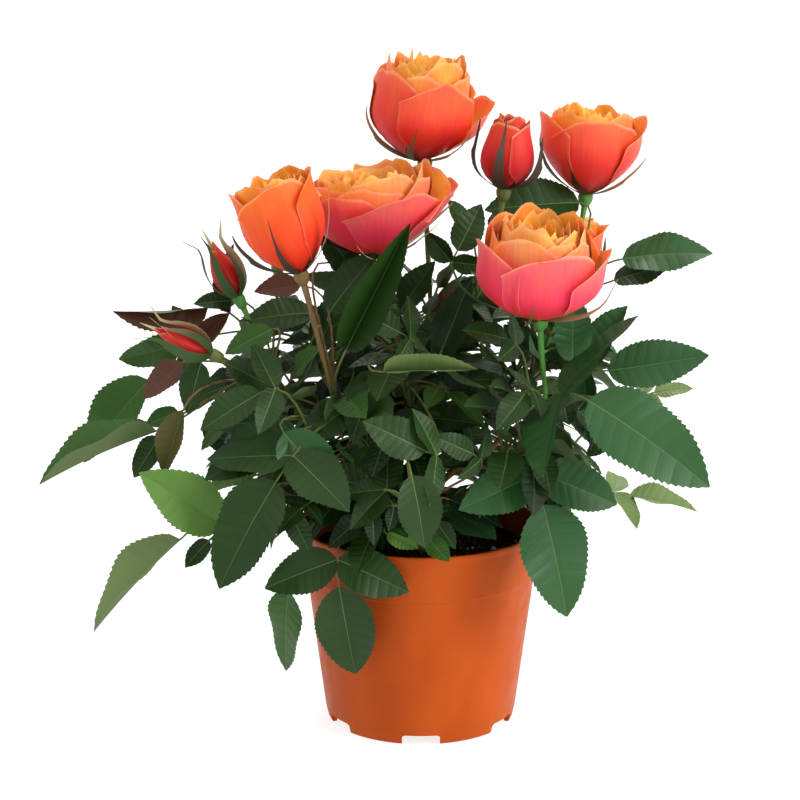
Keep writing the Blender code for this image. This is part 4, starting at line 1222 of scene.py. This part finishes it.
def build_foliage(plant, looks, twig_looks):
    for mass, sprays in plant.sprays.items():
        leaves, twigs = Heap(), Heap()
        rng = random.Random(f"{SEED} looks {mass}")
        for path in plant.stems[mass]:
            add_limb(twigs, path, SHOOT_RADII, SHOOT_MESH, rng, 0, SHOOT_THORNS)
        for number, spray in enumerate(sprays):
            if number in BARE_SOIL.get(mass, ()):
                continue
            tone, fold, free = leaf_tone(spray, number >= plant.known[mass], rng), None, 1.0
            if (mass, number) in plant.tones:
                (tone, fold), free = plant.tones[mass, number], CALM
            slots = (tone, BRONZE_RIB if tone == BRONZE else GREEN_RIB, UNDERSIDE + rng.randrange(2))
            twigs.add(*tube(spray.stalk, STALK_LOOK, *STALK_MESH), rng.choice((1, 2, 2, 2)))
            for blade in spray.blades():
                angle = radians(fold or rng.uniform(*LEAF_FOLD))
                teeth = round(4 + blade.length / MM / TOOTH_SPACING)
                faces, kinds, maps = leaflet_faces(teeth)
                points = leaflet_points(blade, teeth, angle, free, rng)
                leaves.add(points, faces, [slots[kind] for kind in kinds], maps=maps)
        finish_piece(leaves.make("leaves_" + mass, looks, layer_name="leaf"), mass)
        finish_piece(twigs.make("twigs_" + mass, twig_looks), mass)


# ==== canes, thorns and the short stem ====


def add_limb(heap, path, radii, mesh, rng, slot, thorns):
    """A limb whose girth swells at its nodes, with curved thorns set on it."""
    sides, steps = mesh
    placed = limb_frames(path, steps)
    points = []
    for t, frame in placed:
        swell = 1 + 0.07 * sin(23 * t + radii[0] * 40) + rng.uniform(-0.03, 0.03)
        points += ring(frame, blend(radii, t) * swell * MM, sides)
    heap.add(*capped(points, sides), slot)
    for i in range(thorns):
        centre, side, up = placed[2 + (5 * i + 3) % (steps - 3)][1]
        out = side * cos(2.4 * i) + up * sin(2.4 * i)
        foot = centre + out * radii[1] * 0.8 * MM
        add_thorn(heap, foot, out, side.cross(up), rng.uniform(*THORN_LENGTHS), slot)


def add_thorn(heap, foot, out, along, length, slot):
    """A thorn: a long oval foot on the bark, and a point that hooks back down the limb."""
    rim = []
    long, broad = THORN_FOOT
    for j in range(6):
        turn = pi * j / 3
        rim.append(foot + along * cos(turn) * long * MM + out.cross(along) * sin(turn) * broad * MM)
    middle = [foot + (point - foot) * 0.42 + (out * 0.45 - along * 0.1) * length * MM for point in rim]
    tip = foot + (out - along * 0.45) * length * MM
    faces = bands(0, 2, 6) + [(6 + j, 6 + (j + 1) % 6, 12) for j in range(6)] + [(5, 4, 3, 2, 1, 0)]
    heap.add(rim + middle + [tip], faces, slot)


def build_canes(plant, looks):
    rng = random.Random(f"{SEED} canes")
    for i, (name, path) in enumerate(plant.canes.items()):
        cane = Heap()
        add_limb(cane, path, CANE_RADII, CANE_MESH, rng, i % len(looks), CANE_THORNS)
        finish_piece(cane.make(name + "_bark", looks), name)


def build_short_stem(look):
    """The short stem with its bark's ridges and the flare above the soil."""
    points = []
    for i in range(BARK_ROWS + 1):
        height = blend((SOIL_TOP + SEAT_GAP, STEM_TOP), i / BARK_ROWS)
        flare = (STEM_FOOT_RADIUS - STEM_RADIUS) * max(0, 1 - 2.4 * i / BARK_ROWS) ** 2
        for j in range(BARK_SIDES):
            place = radial(2 * pi * j / BARK_SIDES, 2.2, height / 14)
            radius = STEM_RADIUS + flare - 0.5 + 0.9 * noise.noise(place * 2.1)
            points.append(polar(360 * j / BARK_SIDES, radius, height))
    stem = Heap()
    stem.add(*capped(points, BARK_SIDES), 0)
    finish_piece(stem.make("short_stem_bark", [look]), "short_stem")


# ==== flowers ====


def smooth(x):
    x = np.clip(x, 0, 1)
    return x * x * (3 - 2 * x)


def cup_line(layer, flower):
    """(radius, height) along the middle of a petal, from its claw up to its lip."""
    wide, tall = flower.width / 2, flower.height
    reach = np.linspace(0, 1, CUP_STEPS)
    grow = 1 - (1 - np.clip(reach / flower.full_at, 0, 1)) ** 2
    out = CLAW_RADIUS + (layer.radius * wide - CLAW_RADIUS) * grow
    out *= 1 - layer.close * smooth((reach - 0.45) / 0.55)
    return out, 1 + (layer.top * tall - 1) * reach**1.12


@functools.cache
def petal_net():
    """How far up and how far across a petal its rows and columns lie, closest at the lip and sides."""
    u = 1 - (1 - np.linspace(0, 1, PETAL_ROWS)[:, None]) ** 1.6
    v = np.sin(np.linspace(-1, 1, PETAL_COLUMNS) * pi / 2)[None, :]
    return u, v


def petal_reach(u, v, lean, shortest, rng):
    """How far along the cup's line each place lies: round shoulders, and a point where the lip leans."""
    shoulder = 0.17 * np.abs(v + lean * 0.3) ** 2.4
    shoulder = shoulder - rng.uniform(0.01, 0.07) * np.exp(-(((v - lean) / 0.18) ** 2))
    return np.clip(u * (1 - shoulder) * rng.uniform(shortest, 1.0), 0, 1)


def curl_lip(out, height, u, v, lean, layer, flower, rng):
    """Bends the lip out and down, and dents the middle of an inner petal."""
    curl = rng.uniform(-0.2, 0.9) * np.exp(-(((v - lean) / 0.45) ** 2))
    flare = layer.flare * (1 + curl)
    lip = np.clip((u - 0.72) / 0.28, 0, 1) * (0.75 - 0.35 * v)
    dent = rng.uniform(-PETAL_DENT, PETAL_DENT) if layer.radius <= INNER_RADIUS else 0
    out += flower.width / 2 * (flare * lip**2 + dent * smooth((u - 0.3) / 0.5) * (1 - v * v))
    height -= flower.height * flare * 0.5 * lip**3


def fold_open(out, height, u, v, opened, flower):
    """Lets a petal that the photo shows open fall outward, most of all in its middle."""
    ease = smooth((u - 0.1) / 0.9)
    out += flower.width / 2 * opened * 0.75 * ease * (1 - 0.35 * np.abs(v))
    height -= flower.height * opened * 0.42 * ease**1.5


def ruffle_lip(out, height, u, v, ruffle, rng):
    """Waves that grow toward the lip, with finer ones along its edge."""
    phase, other = rng.uniform(0, 6), rng.uniform(0, 6)
    height += ruffle * np.sin(4.6 * v + phase) * u**4
    out += ruffle * 0.3 * np.sin(6.1 * v + other) * u**3 * (1 - v * v)
    crinkle = ruffle * 0.45 * np.clip((u - 0.7) / 0.3, 0, 1) ** 1.5
    height += crinkle * np.sin(9.5 * v + 2 * other) * (1 + 0.5 * np.sin(5 * v + phase))


def petal_grid(layer, flower, turn, opened, rng):
    """Places (hip at the origin) of a petal's outer side, and how far up and across it each lies."""
    u, v = petal_net()
    lean = rng.uniform(-0.25, 0.25)
    reach = petal_reach(u, v, lean, PETAL_SHORTEST[layer.radius <= INNER_RADIUS], rng)
    places = np.linspace(0, 1, CUP_STEPS)
    out, height = (np.interp(reach, places, line) for line in cup_line(layer, flower))
    out *= rng.uniform(0.99, 1.01)
    tucked = v if opened == 0 else -np.abs(v)
    out *= 1 - PETAL_TUCK / max(layer.radius, LEAST_TUCKED) * tucked
    curl_lip(out, height, u, v, lean, layer, flower, rng)
    fold_open(out, height, u, v, opened, flower)
    ruffle_lip(out, height, u, v, layer.ruffle, rng)
    angle = turn + v * radians(layer.spread) * (0.35 + 0.65 * smooth(u / 0.45))
    place = np.stack([out * np.cos(angle), out * np.sin(angle), height + 0 * v], axis=2)
    return place, np.broadcast_to(u, place.shape[:2]), np.broadcast_to(v, place.shape[:2])


def mix_colours(reach, *stops):
    """A colour for each place, from (reach, colour) stops."""
    places, colours = zip(*stops)
    return np.stack([np.interp(reach, places, part) for part in zip(*colours)], axis=-1)


def petal_tints(reach, v, palette, warm, rng):
    """(outer side, inner side) colours: a dark foot, partly deeper red and partly painted shade, the petal's
    blush, its lip and a paler rim, partly real and partly a painted highlight.
    """
    depth = reach + rng.uniform(-0.1, 0.1) + 0.06 * np.sin(5 * v + rng.uniform(0, 6)) * reach - 0.08 * v * v
    foot, body, blush, lip, inner, heart = palette
    side = np.abs(v)[..., None] ** 3 * rng.uniform(0, 0.5)
    body, blush = body + (inner - body) * warm, blush + (inner - blush) * min(1, 2.5 * warm)
    lip = lip + (heart - lip) * warm**0.6
    outer = mix_colours(depth, (0.0, foot), (0.22, body), (0.55, blush), (0.92, lip))
    outer = outer + (blush - outer) * side
    inside = mix_colours(depth, (0.1, heart), (0.6, heart), (0.85, inner), (1.0, lip))
    # Painted highlight: the lip and the side edges are lightened toward the pale rim colour.
    lit = smooth((reach - 0.95) / 0.05)[..., None] + 0.4 * smooth((np.abs(v) - 0.97) / 0.03)[..., None]
    lit = np.clip(lit, 0, 1) * RIM_HIGHLIGHT_SHARE
    rim = np.array(srgb(PETAL_RIM_HIGHLIGHT))
    return outer + (rim - outer) * lit, inside + (rim - inside) * lit


@functools.cache
def petal_faces():
    """(faces, map) of a petal's two sides and rim; the map says (side, across, up) for the sides."""
    rows, columns = PETAL_ROWS, PETAL_COLUMNS
    count = rows * columns
    faces, places = [], []
    for side in (0, 1):
        for i in range(rows - 1):
            for j in range(columns - 1):
                grid = ((i, j), (i, j + 1), (i + 1, j + 1), (i + 1, j))
                grid = grid if side == 0 else (grid[0], *grid[:0:-1])
                faces.append(tuple(side * count + a * columns + b for a, b in grid))
                for a, b in grid:
                    places.append((side, 0.05 + 0.9 * b / (columns - 1), 0.05 + 0.9 * a / (rows - 1)))
    rim = [i * columns for i in range(rows - 1, 0, -1)] + list(range(columns - 1))
    rim += [(i + 1) * columns - 1 for i in range(rows - 1)] + list(range(count - 1, count - columns, -1))
    for here, there in zip(rim, rim[1:] + rim[:1]):
        faces.append((there, here, count + here, count + there))
    return faces, np.array(places)


def petal_map(cell):
    """The petal's places on the bloom's colour map: two cells for its sides; rims share a point."""
    faces, places = petal_faces()
    size = 1 / PETAL_CELLS
    number = 2 * cell + places[:, 0]
    corner = size * np.stack([number % PETAL_CELLS, number // PETAL_CELLS], axis=1)
    on_rim = 4 * len(faces) - len(places)
    return np.concatenate([corner + size * places[:, 1:], np.full((on_rim, 2), size * 0.5)])


def add_petal(heap, layer, flower, turn, palette, warm, rng, cell):
    outer, reach, v = petal_grid(layer, flower, turn, flower.opened.get(cell, 0), rng)
    normal = np.cross(np.gradient(outer, axis=1), np.gradient(outer, axis=0))
    normal /= np.linalg.norm(normal, axis=2, keepdims=True) + 1e-9
    inner = outer - normal * PETAL_THICKNESS * (1.15 - reach[..., None])
    matrix = np.array(flower_place(flower))
    local = np.concatenate([outer.reshape(-1, 3), inner.reshape(-1, 3)]) * MM
    points = local @ matrix[:3, :3].T + matrix[:3, 3]
    tints = np.concatenate([tint.reshape(-1, 3) for tint in petal_tints(reach, v, palette, warm, rng)])
    heap.add(points, petal_faces()[0], 0, np.clip(tints, 0, 1), petal_map(cell))


def build_bloom(flower, look):
    rng = random.Random(f"{SEED} petals {flower.name}")
    palette = [np.array(srgb(colour)) for colour in PALETTES[flower.palette]]
    petals = Heap()
    layers = LAYERS[flower.kind]
    turn, cell = radians(flower.turn), 0
    for depth, layer in enumerate(layers):
        warm = depth / (len(layers) - 1)
        for k in range(layer.count):
            angle = turn + 2 * pi * k / layer.count + rng.uniform(-0.1, 0.1) * (1 + 1.5 * warm)
            add_petal(petals, layer, flower, angle, palette, warm, rng, cell)
            cell += 1
        turn += pi / layer.count + rng.uniform(-0.2, 0.2)
    return petals.make("petals_" + flower.name, [look], sharp=PETAL_SHARP)


def add_hip(heap, flower, slot):
    """The green hip that carries the petals."""
    radius = BUD_HIP_RADIUS if flower.kind == "bud" else HIP_RADIUS
    wall = [(radius * 0.9, -2.6), (radius, -0.4), (radius * 0.86, 1.6), (radius * 0.8, 3.2)]
    points, faces = lathe([(1.5, -5.6), (2.4, -4.8), *wall], HIP_SIDES)
    place = flower_place(flower)
    heap.add([place @ point for point in points], faces, slot)


def add_fine_sepal(heap, flower, azimuth, loose, rng, outside, inside):
    """A sepal: it follows the cup, then leaves it by loose; green or brown outside, pale within."""
    place = flower_place(flower)
    bud = flower.kind == "bud"
    length = flower.height * 1.22 if bud else SEPAL_REACH * rng.uniform(0.85, 1.15)
    broad = 3.0 if bud else SEPAL_SPREAD * rng.uniform(0.85, 1.15)
    out, height = cup_line(LAYERS[flower.kind][0], flower)
    out += SEPAL_CLEAR * smooth(np.linspace(0, 4, CUP_STEPS))
    run = np.concatenate([[0], np.cumsum(np.hypot(np.diff(out), np.diff(height)))])
    way = np.hypot(np.gradient(out), np.gradient(height))
    line = (out, height, np.gradient(height) / way, -np.gradient(out) / way)
    turn, sway = radians(azimuth), rng.uniform(-0.25, 0.25)
    twist = rng.choice((-1, 1)) * rng.uniform(0.7, 1.3)
    points = []
    for i in range(SEPAL_ROWS):
        u = i / (SEPAL_ROWS - 1)
        s = min(u * length, run[-1] * 0.98)
        past = u * length - s
        r, z, lean_out, lean_up = (float(np.interp(s, run, values)) for values in line)
        stray = loose * length * 0.5 * u**2.4
        r = r + stray * lean_out * 1.2 + past * 0.4
        z = z + stray * lean_up * 0.9 + past * 0.8
        half = broad * (1 - u) ** 0.75 * min(1, 0.7 + 1.6 * u) * (1 if u < 0.6 else 0.7) + 0.18
        gutter = half * blend((0.05, 0.5), u)
        spin = twist * u
        for across, lift in ((half, gutter), (0, 0.4), (-half, gutter), (0, 0.0)):
            angle = turn + sway * u + across * cos(spin) / max(r, 3.6)
            lift += across * sin(spin) + half * abs(sin(spin))
            reach = r + lift * lean_out
            points.append(place @ (radial(angle, reach, z + lift * lean_up) * MM))
    last = 4 * (SEPAL_ROWS - 1)
    faces = []
    for a in range(0, last, 4):
        faces += [(a + j, a + 4 + j, a + 4 + (j + 1) % 4, a + (j + 1) % 4) for j in range(4)]
    faces += [(0, 1, 2, 3), (last + 3, last + 2, last + 1, last)]
    kinds = [outside, outside, inside, inside] * (SEPAL_ROWS - 1) + [outside] * 2
    heap.add(points, faces, kinds)


def build_flower(plant, flower, petal, looks):
    """The petals are one piece; the twig, the hip and the sepals another."""
    heap = Heap()
    rng = random.Random(f"{SEED} sepals {flower.name}")
    names = ("stem_" + flower.stem, "sepal_" + flower.sepal, "sepal_pale")
    stem, outside, inside = (FLOWER_LOOKS.index(name) for name in names)
    twig = plant.twigs[flower.name]
    add_limb(heap, twig, TWIG_RADII, TWIG_MESH, random.Random(flower.name), stem, TWIG_THORNS)
    add_hip(heap, flower, stem)
    shown = flower._replace(**RESHAPED.get(flower.name, {}))
    for j in range(SEPALS):
        azimuth = 360 * (3 * j + 1.5) / FLOWER_SIDES
        loose = rng.uniform(*SEPAL_LOOSE[flower.kind])
        add_fine_sepal(heap, shown, azimuth, loose, rng, outside, inside)
    finish_piece(heap.make("stem_" + flower.name, looks), flower.name)
    finish_piece(build_bloom(shown, petal), flower.name)


# ==== the pot and its soil ====


def wall_radius(height):
    """The outside of the pot's wall below the band, at a height."""
    slope = (BAND_RADIUS - BAND_STEP - BASE_RADIUS) / (POT_HEIGHT - BAND_HEIGHT - BASE_HEIGHT)
    return BASE_RADIUS + slope * (height - BASE_HEIGHT)


def pot_section():
    """(radius, height): the source's section, with rim, ledge and foot rounded as moulds have them."""
    band, top = POT_HEIGHT - BAND_HEIGHT, POT_HEIGHT
    deck = CHANNEL_HEIGHT + FLOOR
    inner = RIM_RADIUS - WALL
    inside = (
        (0, FLOOR),
        (DISC_RADIUS - 2, FLOOR),
        (DISC_RADIUS + 0.5, deck),
        (wall_radius(deck) - WALL - 1, deck),
        (wall_radius(deck + 1) - WALL, deck + 1),
        (wall_radius(band) - WALL, band),
        (inner - 0.4, top - 0.8),
        (inner - 0.3, top - 0.25),
        (inner, top),
    )
    rim = ((0.5, 0), (0.12, 0.22), (0, 0.7), (0.05, 2.2), (0.4, 2.9), (0.42, 3.6))  # in and down
    ledge = ((0.05, 1.2), (-0.05, 0.45), (-0.4, 0))  # out and up
    outside = (
        (wall_radius(band) + 0.1, band - 0.3),
        (wall_radius(band - 1), band - 1),
        (wall_radius(band / 2), band / 2),
        (BASE_RADIUS, BASE_HEIGHT),
        (FOOT_RADIUS + 0.35, 1.0),
        (FOOT_RADIUS - 0.1, 0.15),
        (FOOT_RADIUS - 0.5, 0),
        (FOOT_RADIUS - FOOT_WIDTH, 0),
        (FOOT_RADIUS - FOOT_WIDTH - 0.2, CHANNEL_HEIGHT),
        (DISC_RADIUS + 2.5, CHANNEL_HEIGHT),
        (DISC_RADIUS + 0.2, 0.2),
        (DISC_RADIUS - 0.4, 0),
        (0, 0),
    )
    rim = [(RIM_RADIUS - radius, top - height) for radius, height in rim]
    ledge = [(BAND_RADIUS + radius, band + height) for radius, height in ledge]
    return (*inside, *rim, *ledge, *outside)


def notch_cutter(azimuth):
    build = bmesh.new()
    bmesh.ops.create_cube(build, size=MM)
    bmesh.ops.bevel(build, geom=build.edges[:], offset=0.08 * MM, segments=1, affect="EDGES")
    cutter = put("notch", bpy.data.meshes.new("notch"))
    build.to_mesh(cutter.data)
    build.free()
    cutter.scale = NOTCH_SIZE
    cutter.location = polar(azimuth, FOOT_RADIUS - 0.5, 0)
    cutter.rotation_euler.z = radians(azimuth)
    return cutter


def build_pot(look):
    mesh = bpy.data.meshes.new("pot_shell")
    points = [(radius * MM, 0, height * MM) for radius, height in pot_section()]
    mesh.from_pydata(points, [(i, i + 1) for i in range(len(points) - 1)], [])
    mesh.materials.append(look)
    pot = put("pot_shell", mesh)
    screw = pot.modifiers.new("turn", "SCREW")
    screw.steps = screw.render_steps = POT_STEPS
    screw.use_merge_vertices = True
    screw.merge_threshold = 0.00001
    screw.use_normal_flip = True
    cutters = [notch_cutter(360 * i / NOTCHES - 90) for i in range(NOTCHES)]
    for cutter in cutters:
        cut = pot.modifiers.new("notch", "BOOLEAN")
        cut.operation = "DIFFERENCE"
        cut.object = cutter
    bpy.context.view_layer.update()
    shape = bpy.data.meshes.new_from_object(pot.evaluated_get(bpy.context.evaluated_depsgraph_get()))
    for cutter in cutters:
        bpy.data.objects.remove(cutter)
    pot.modifiers.clear()
    pot.data = shape
    shape.shade_smooth()
    shape.set_sharp_from_angle(angle=radians(POT_SHARP))
    finish_piece(pot, "pot")


def ground(x, y, lift=0.0):
    """The point on the soil's surface at a place, or lifted off it, in mm."""
    place = Vector((x, y, 0))
    lumps = 1.6 * noise.noise(place / 9) + 0.9 * noise.noise(place / 3.5) + 0.5 * noise.noise(place / 1.4)
    return Vector((x, y, SOIL_TOP - 0.6 - 2.2 * (hypot(x, y) / 55) ** 4 + lumps + lift))


def add_peat(heap, edge):
    points = [ground(0, 0) * MM]
    for i in range(1, SOIL_RINGS + 1):
        reach = edge * i / SOIL_RINGS
        for j in range(SOIL_SIDES):
            turn = 2 * pi * j / SOIL_SIDES
            points.append(ground(reach * cos(turn), reach * sin(turn)) * MM)
    below = ((edge - 0.6, SOIL_TOP - 14), (wall_radius(12) - WALL - 1, 9), (DISC_RADIUS - 2, 2.6))
    for place in below:
        points += level_ring(*place, SOIL_SIDES)
    faces = [(0, 1 + j, 1 + (j + 1) % SOIL_SIDES) for j in range(SOIL_SIDES)]
    faces += [tuple(reversed(face)) for face in bands(1, SOIL_RINGS + len(below), SOIL_SIDES)]
    faces.append(tuple(range(len(points) - 1, len(points) - SOIL_SIDES - 1, -1)))
    heap.add(points, faces, PEAT)


def add_crumbs(heap, edge, rng):
    ball = bmesh.new()
    bmesh.ops.create_icosphere(ball, subdivisions=2, radius=1)
    ball_points = [vertex.co.copy() for vertex in ball.verts]
    faces = [tuple(vertex.index for vertex in face.verts) for face in ball.faces]
    ball.free()
    for i in range(CRUMBS):
        reach, turn = edge * sqrt(rng.uniform(0.02, 0.97)), rng.uniform(0, 2 * pi)
        size = rng.uniform(0.4, 1.0) if rng.random() < 0.7 else rng.uniform(1.0, 2.1)
        kind = GRIT if rng.random() < GRIT_SHARE else rng.choice((DARK_CRUMB, DARK_CRUMB, BROWN_CRUMB))
        shape = Vector((rng.uniform(0.7, 1.5), rng.uniform(0.6, 1.1), rng.uniform(0.5, 0.9))) * size
        spin = Matrix.Rotation(rng.uniform(0, 6), 3, "Z") @ Matrix.Rotation(rng.uniform(-0.5, 0.5), 3, "X")
        centre = ground(reach * cos(turn), reach * sin(turn), size * 0.25)
        seed = Vector((i * 1.7, i * 0.3, 0))
        rough = [point * (1 + 0.45 * noise.noise(point * 1.6 + seed)) for point in ball_points]
        heap.add([(centre + spin @ (point * shape)) * MM for point in rough], faces, kind)


def build_soil(looks):
    """Moist peat: a lumpy surface, crumbs strewn on it, pale grit and a sprig of moss."""
    rng = random.Random(f"{SEED} soil")
    heap = Heap()
    edge = BAND_RADIUS - 1.3 - WALL
    add_peat(heap, edge)
    add_crumbs(heap, edge, rng)
    for _ in range(MOSS_BLADES):
        stray = Vector((rng.gauss(0, MOSS_SCATTER), rng.gauss(0, MOSS_SCATTER)))
        foot = ground(*(Vector(MOSS_SPOT) + stray)) * MM
        tip = foot + heading(rng.uniform(0, 360), rng.uniform(35, 85)) * rng.uniform(2, 5) * MM
        heap.add(*tube(Path(foot, UP, tip, (tip - foot).normalized()), MOSS_RADII, 4, 3), MOSS)
    finish_piece(heap.make("soil_surface", looks, sharp=SOIL_SHARP), "soil")


# ==== the stage ====


def build_camera(scene):
    rise = radians(CAMERA_RISE)
    scene.camera = camera = put("camera", bpy.data.cameras.new("camera"))
    away = Vector((0, -cos(rise), sin(rise)))
    camera.location = Vector(CAMERA_TARGET) + away * CAMERA_DISTANCE
    camera.rotation_euler = (pi / 2 - rise, 0, 0)
    camera.data.sensor_width = SENSOR
    camera.data.lens = SENSOR * CAMERA_DISTANCE / CAMERA_VIEW


def build_studio(scene):
    scene.view_settings.view_transform = "Standard"
    scene.world = bpy.data.worlds.new("studio")
    sky = Nodes(scene.world, "Background")
    up = sky.node("SeparateXYZ", Vector=sky.node("TexCoord").outputs["Generated"]).outputs["Z"]
    height = sky.node("MapRange", Value=up, From_Min=-1.0).outputs["Result"]
    sky.set("Color", sky.ramp(height, *STUDIO))
    for name, place, size, power, colour in LIGHTS:
        lamp = bpy.data.lights.new(name, "AREA")
        lamp.shape, lamp.size, lamp.energy, lamp.color = "DISK", size, power, colour
        light = put(name, lamp)
        light.location = place
        light.rotation_euler = (Vector(LIGHT_AIM) - Vector(place)).to_track_quat("-Z", "Y").to_euler()


def build_floor():
    circle = bmesh.new()
    bmesh.ops.create_circle(circle, cap_ends=True, segments=96, radius=FLOOR_RADIUS)
    mesh = bpy.data.meshes.new("floor")
    circle.to_mesh(mesh)
    circle.free()
    look = new_look("pale_floor", (0.3, 0.3, 0.3), 0.9, Emission_Color=(1, 1, 1, 1), Emission_Strength=0.8)
    mesh.materials.append(look.owner)
    floor = put("floor", mesh)
    floor.location.z = -FLOOR_SINK


def main():
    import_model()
    plant = Plant()
    stems = {name: stem_look(name, *colours) for name, colours in STEM_LOOKS.items()}
    green, olive, brown = stems.values()
    build_foliage(plant, [leaf_look(*row) for row in LEAF_LOOKS], [green, brown, olive])
    build_canes(plant, [olive, brown, green])
    build_short_stem(bark_look())
    sepals = [leaf_look("sepal_" + name, *row) for name, row in SEPAL_LOOKS.items()]
    petal = petal_look()
    for flower in FLOWERS:
        build_flower(plant, flower, petal, [green, olive, brown, *sepals])
    build_pot(pot_look())
    build_soil([soil_look(*row) for row in SOIL_LOOKS])
    scene = bpy.context.scene
    build_camera(scene)
    build_studio(scene)
    build_floor()
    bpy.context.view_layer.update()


main()
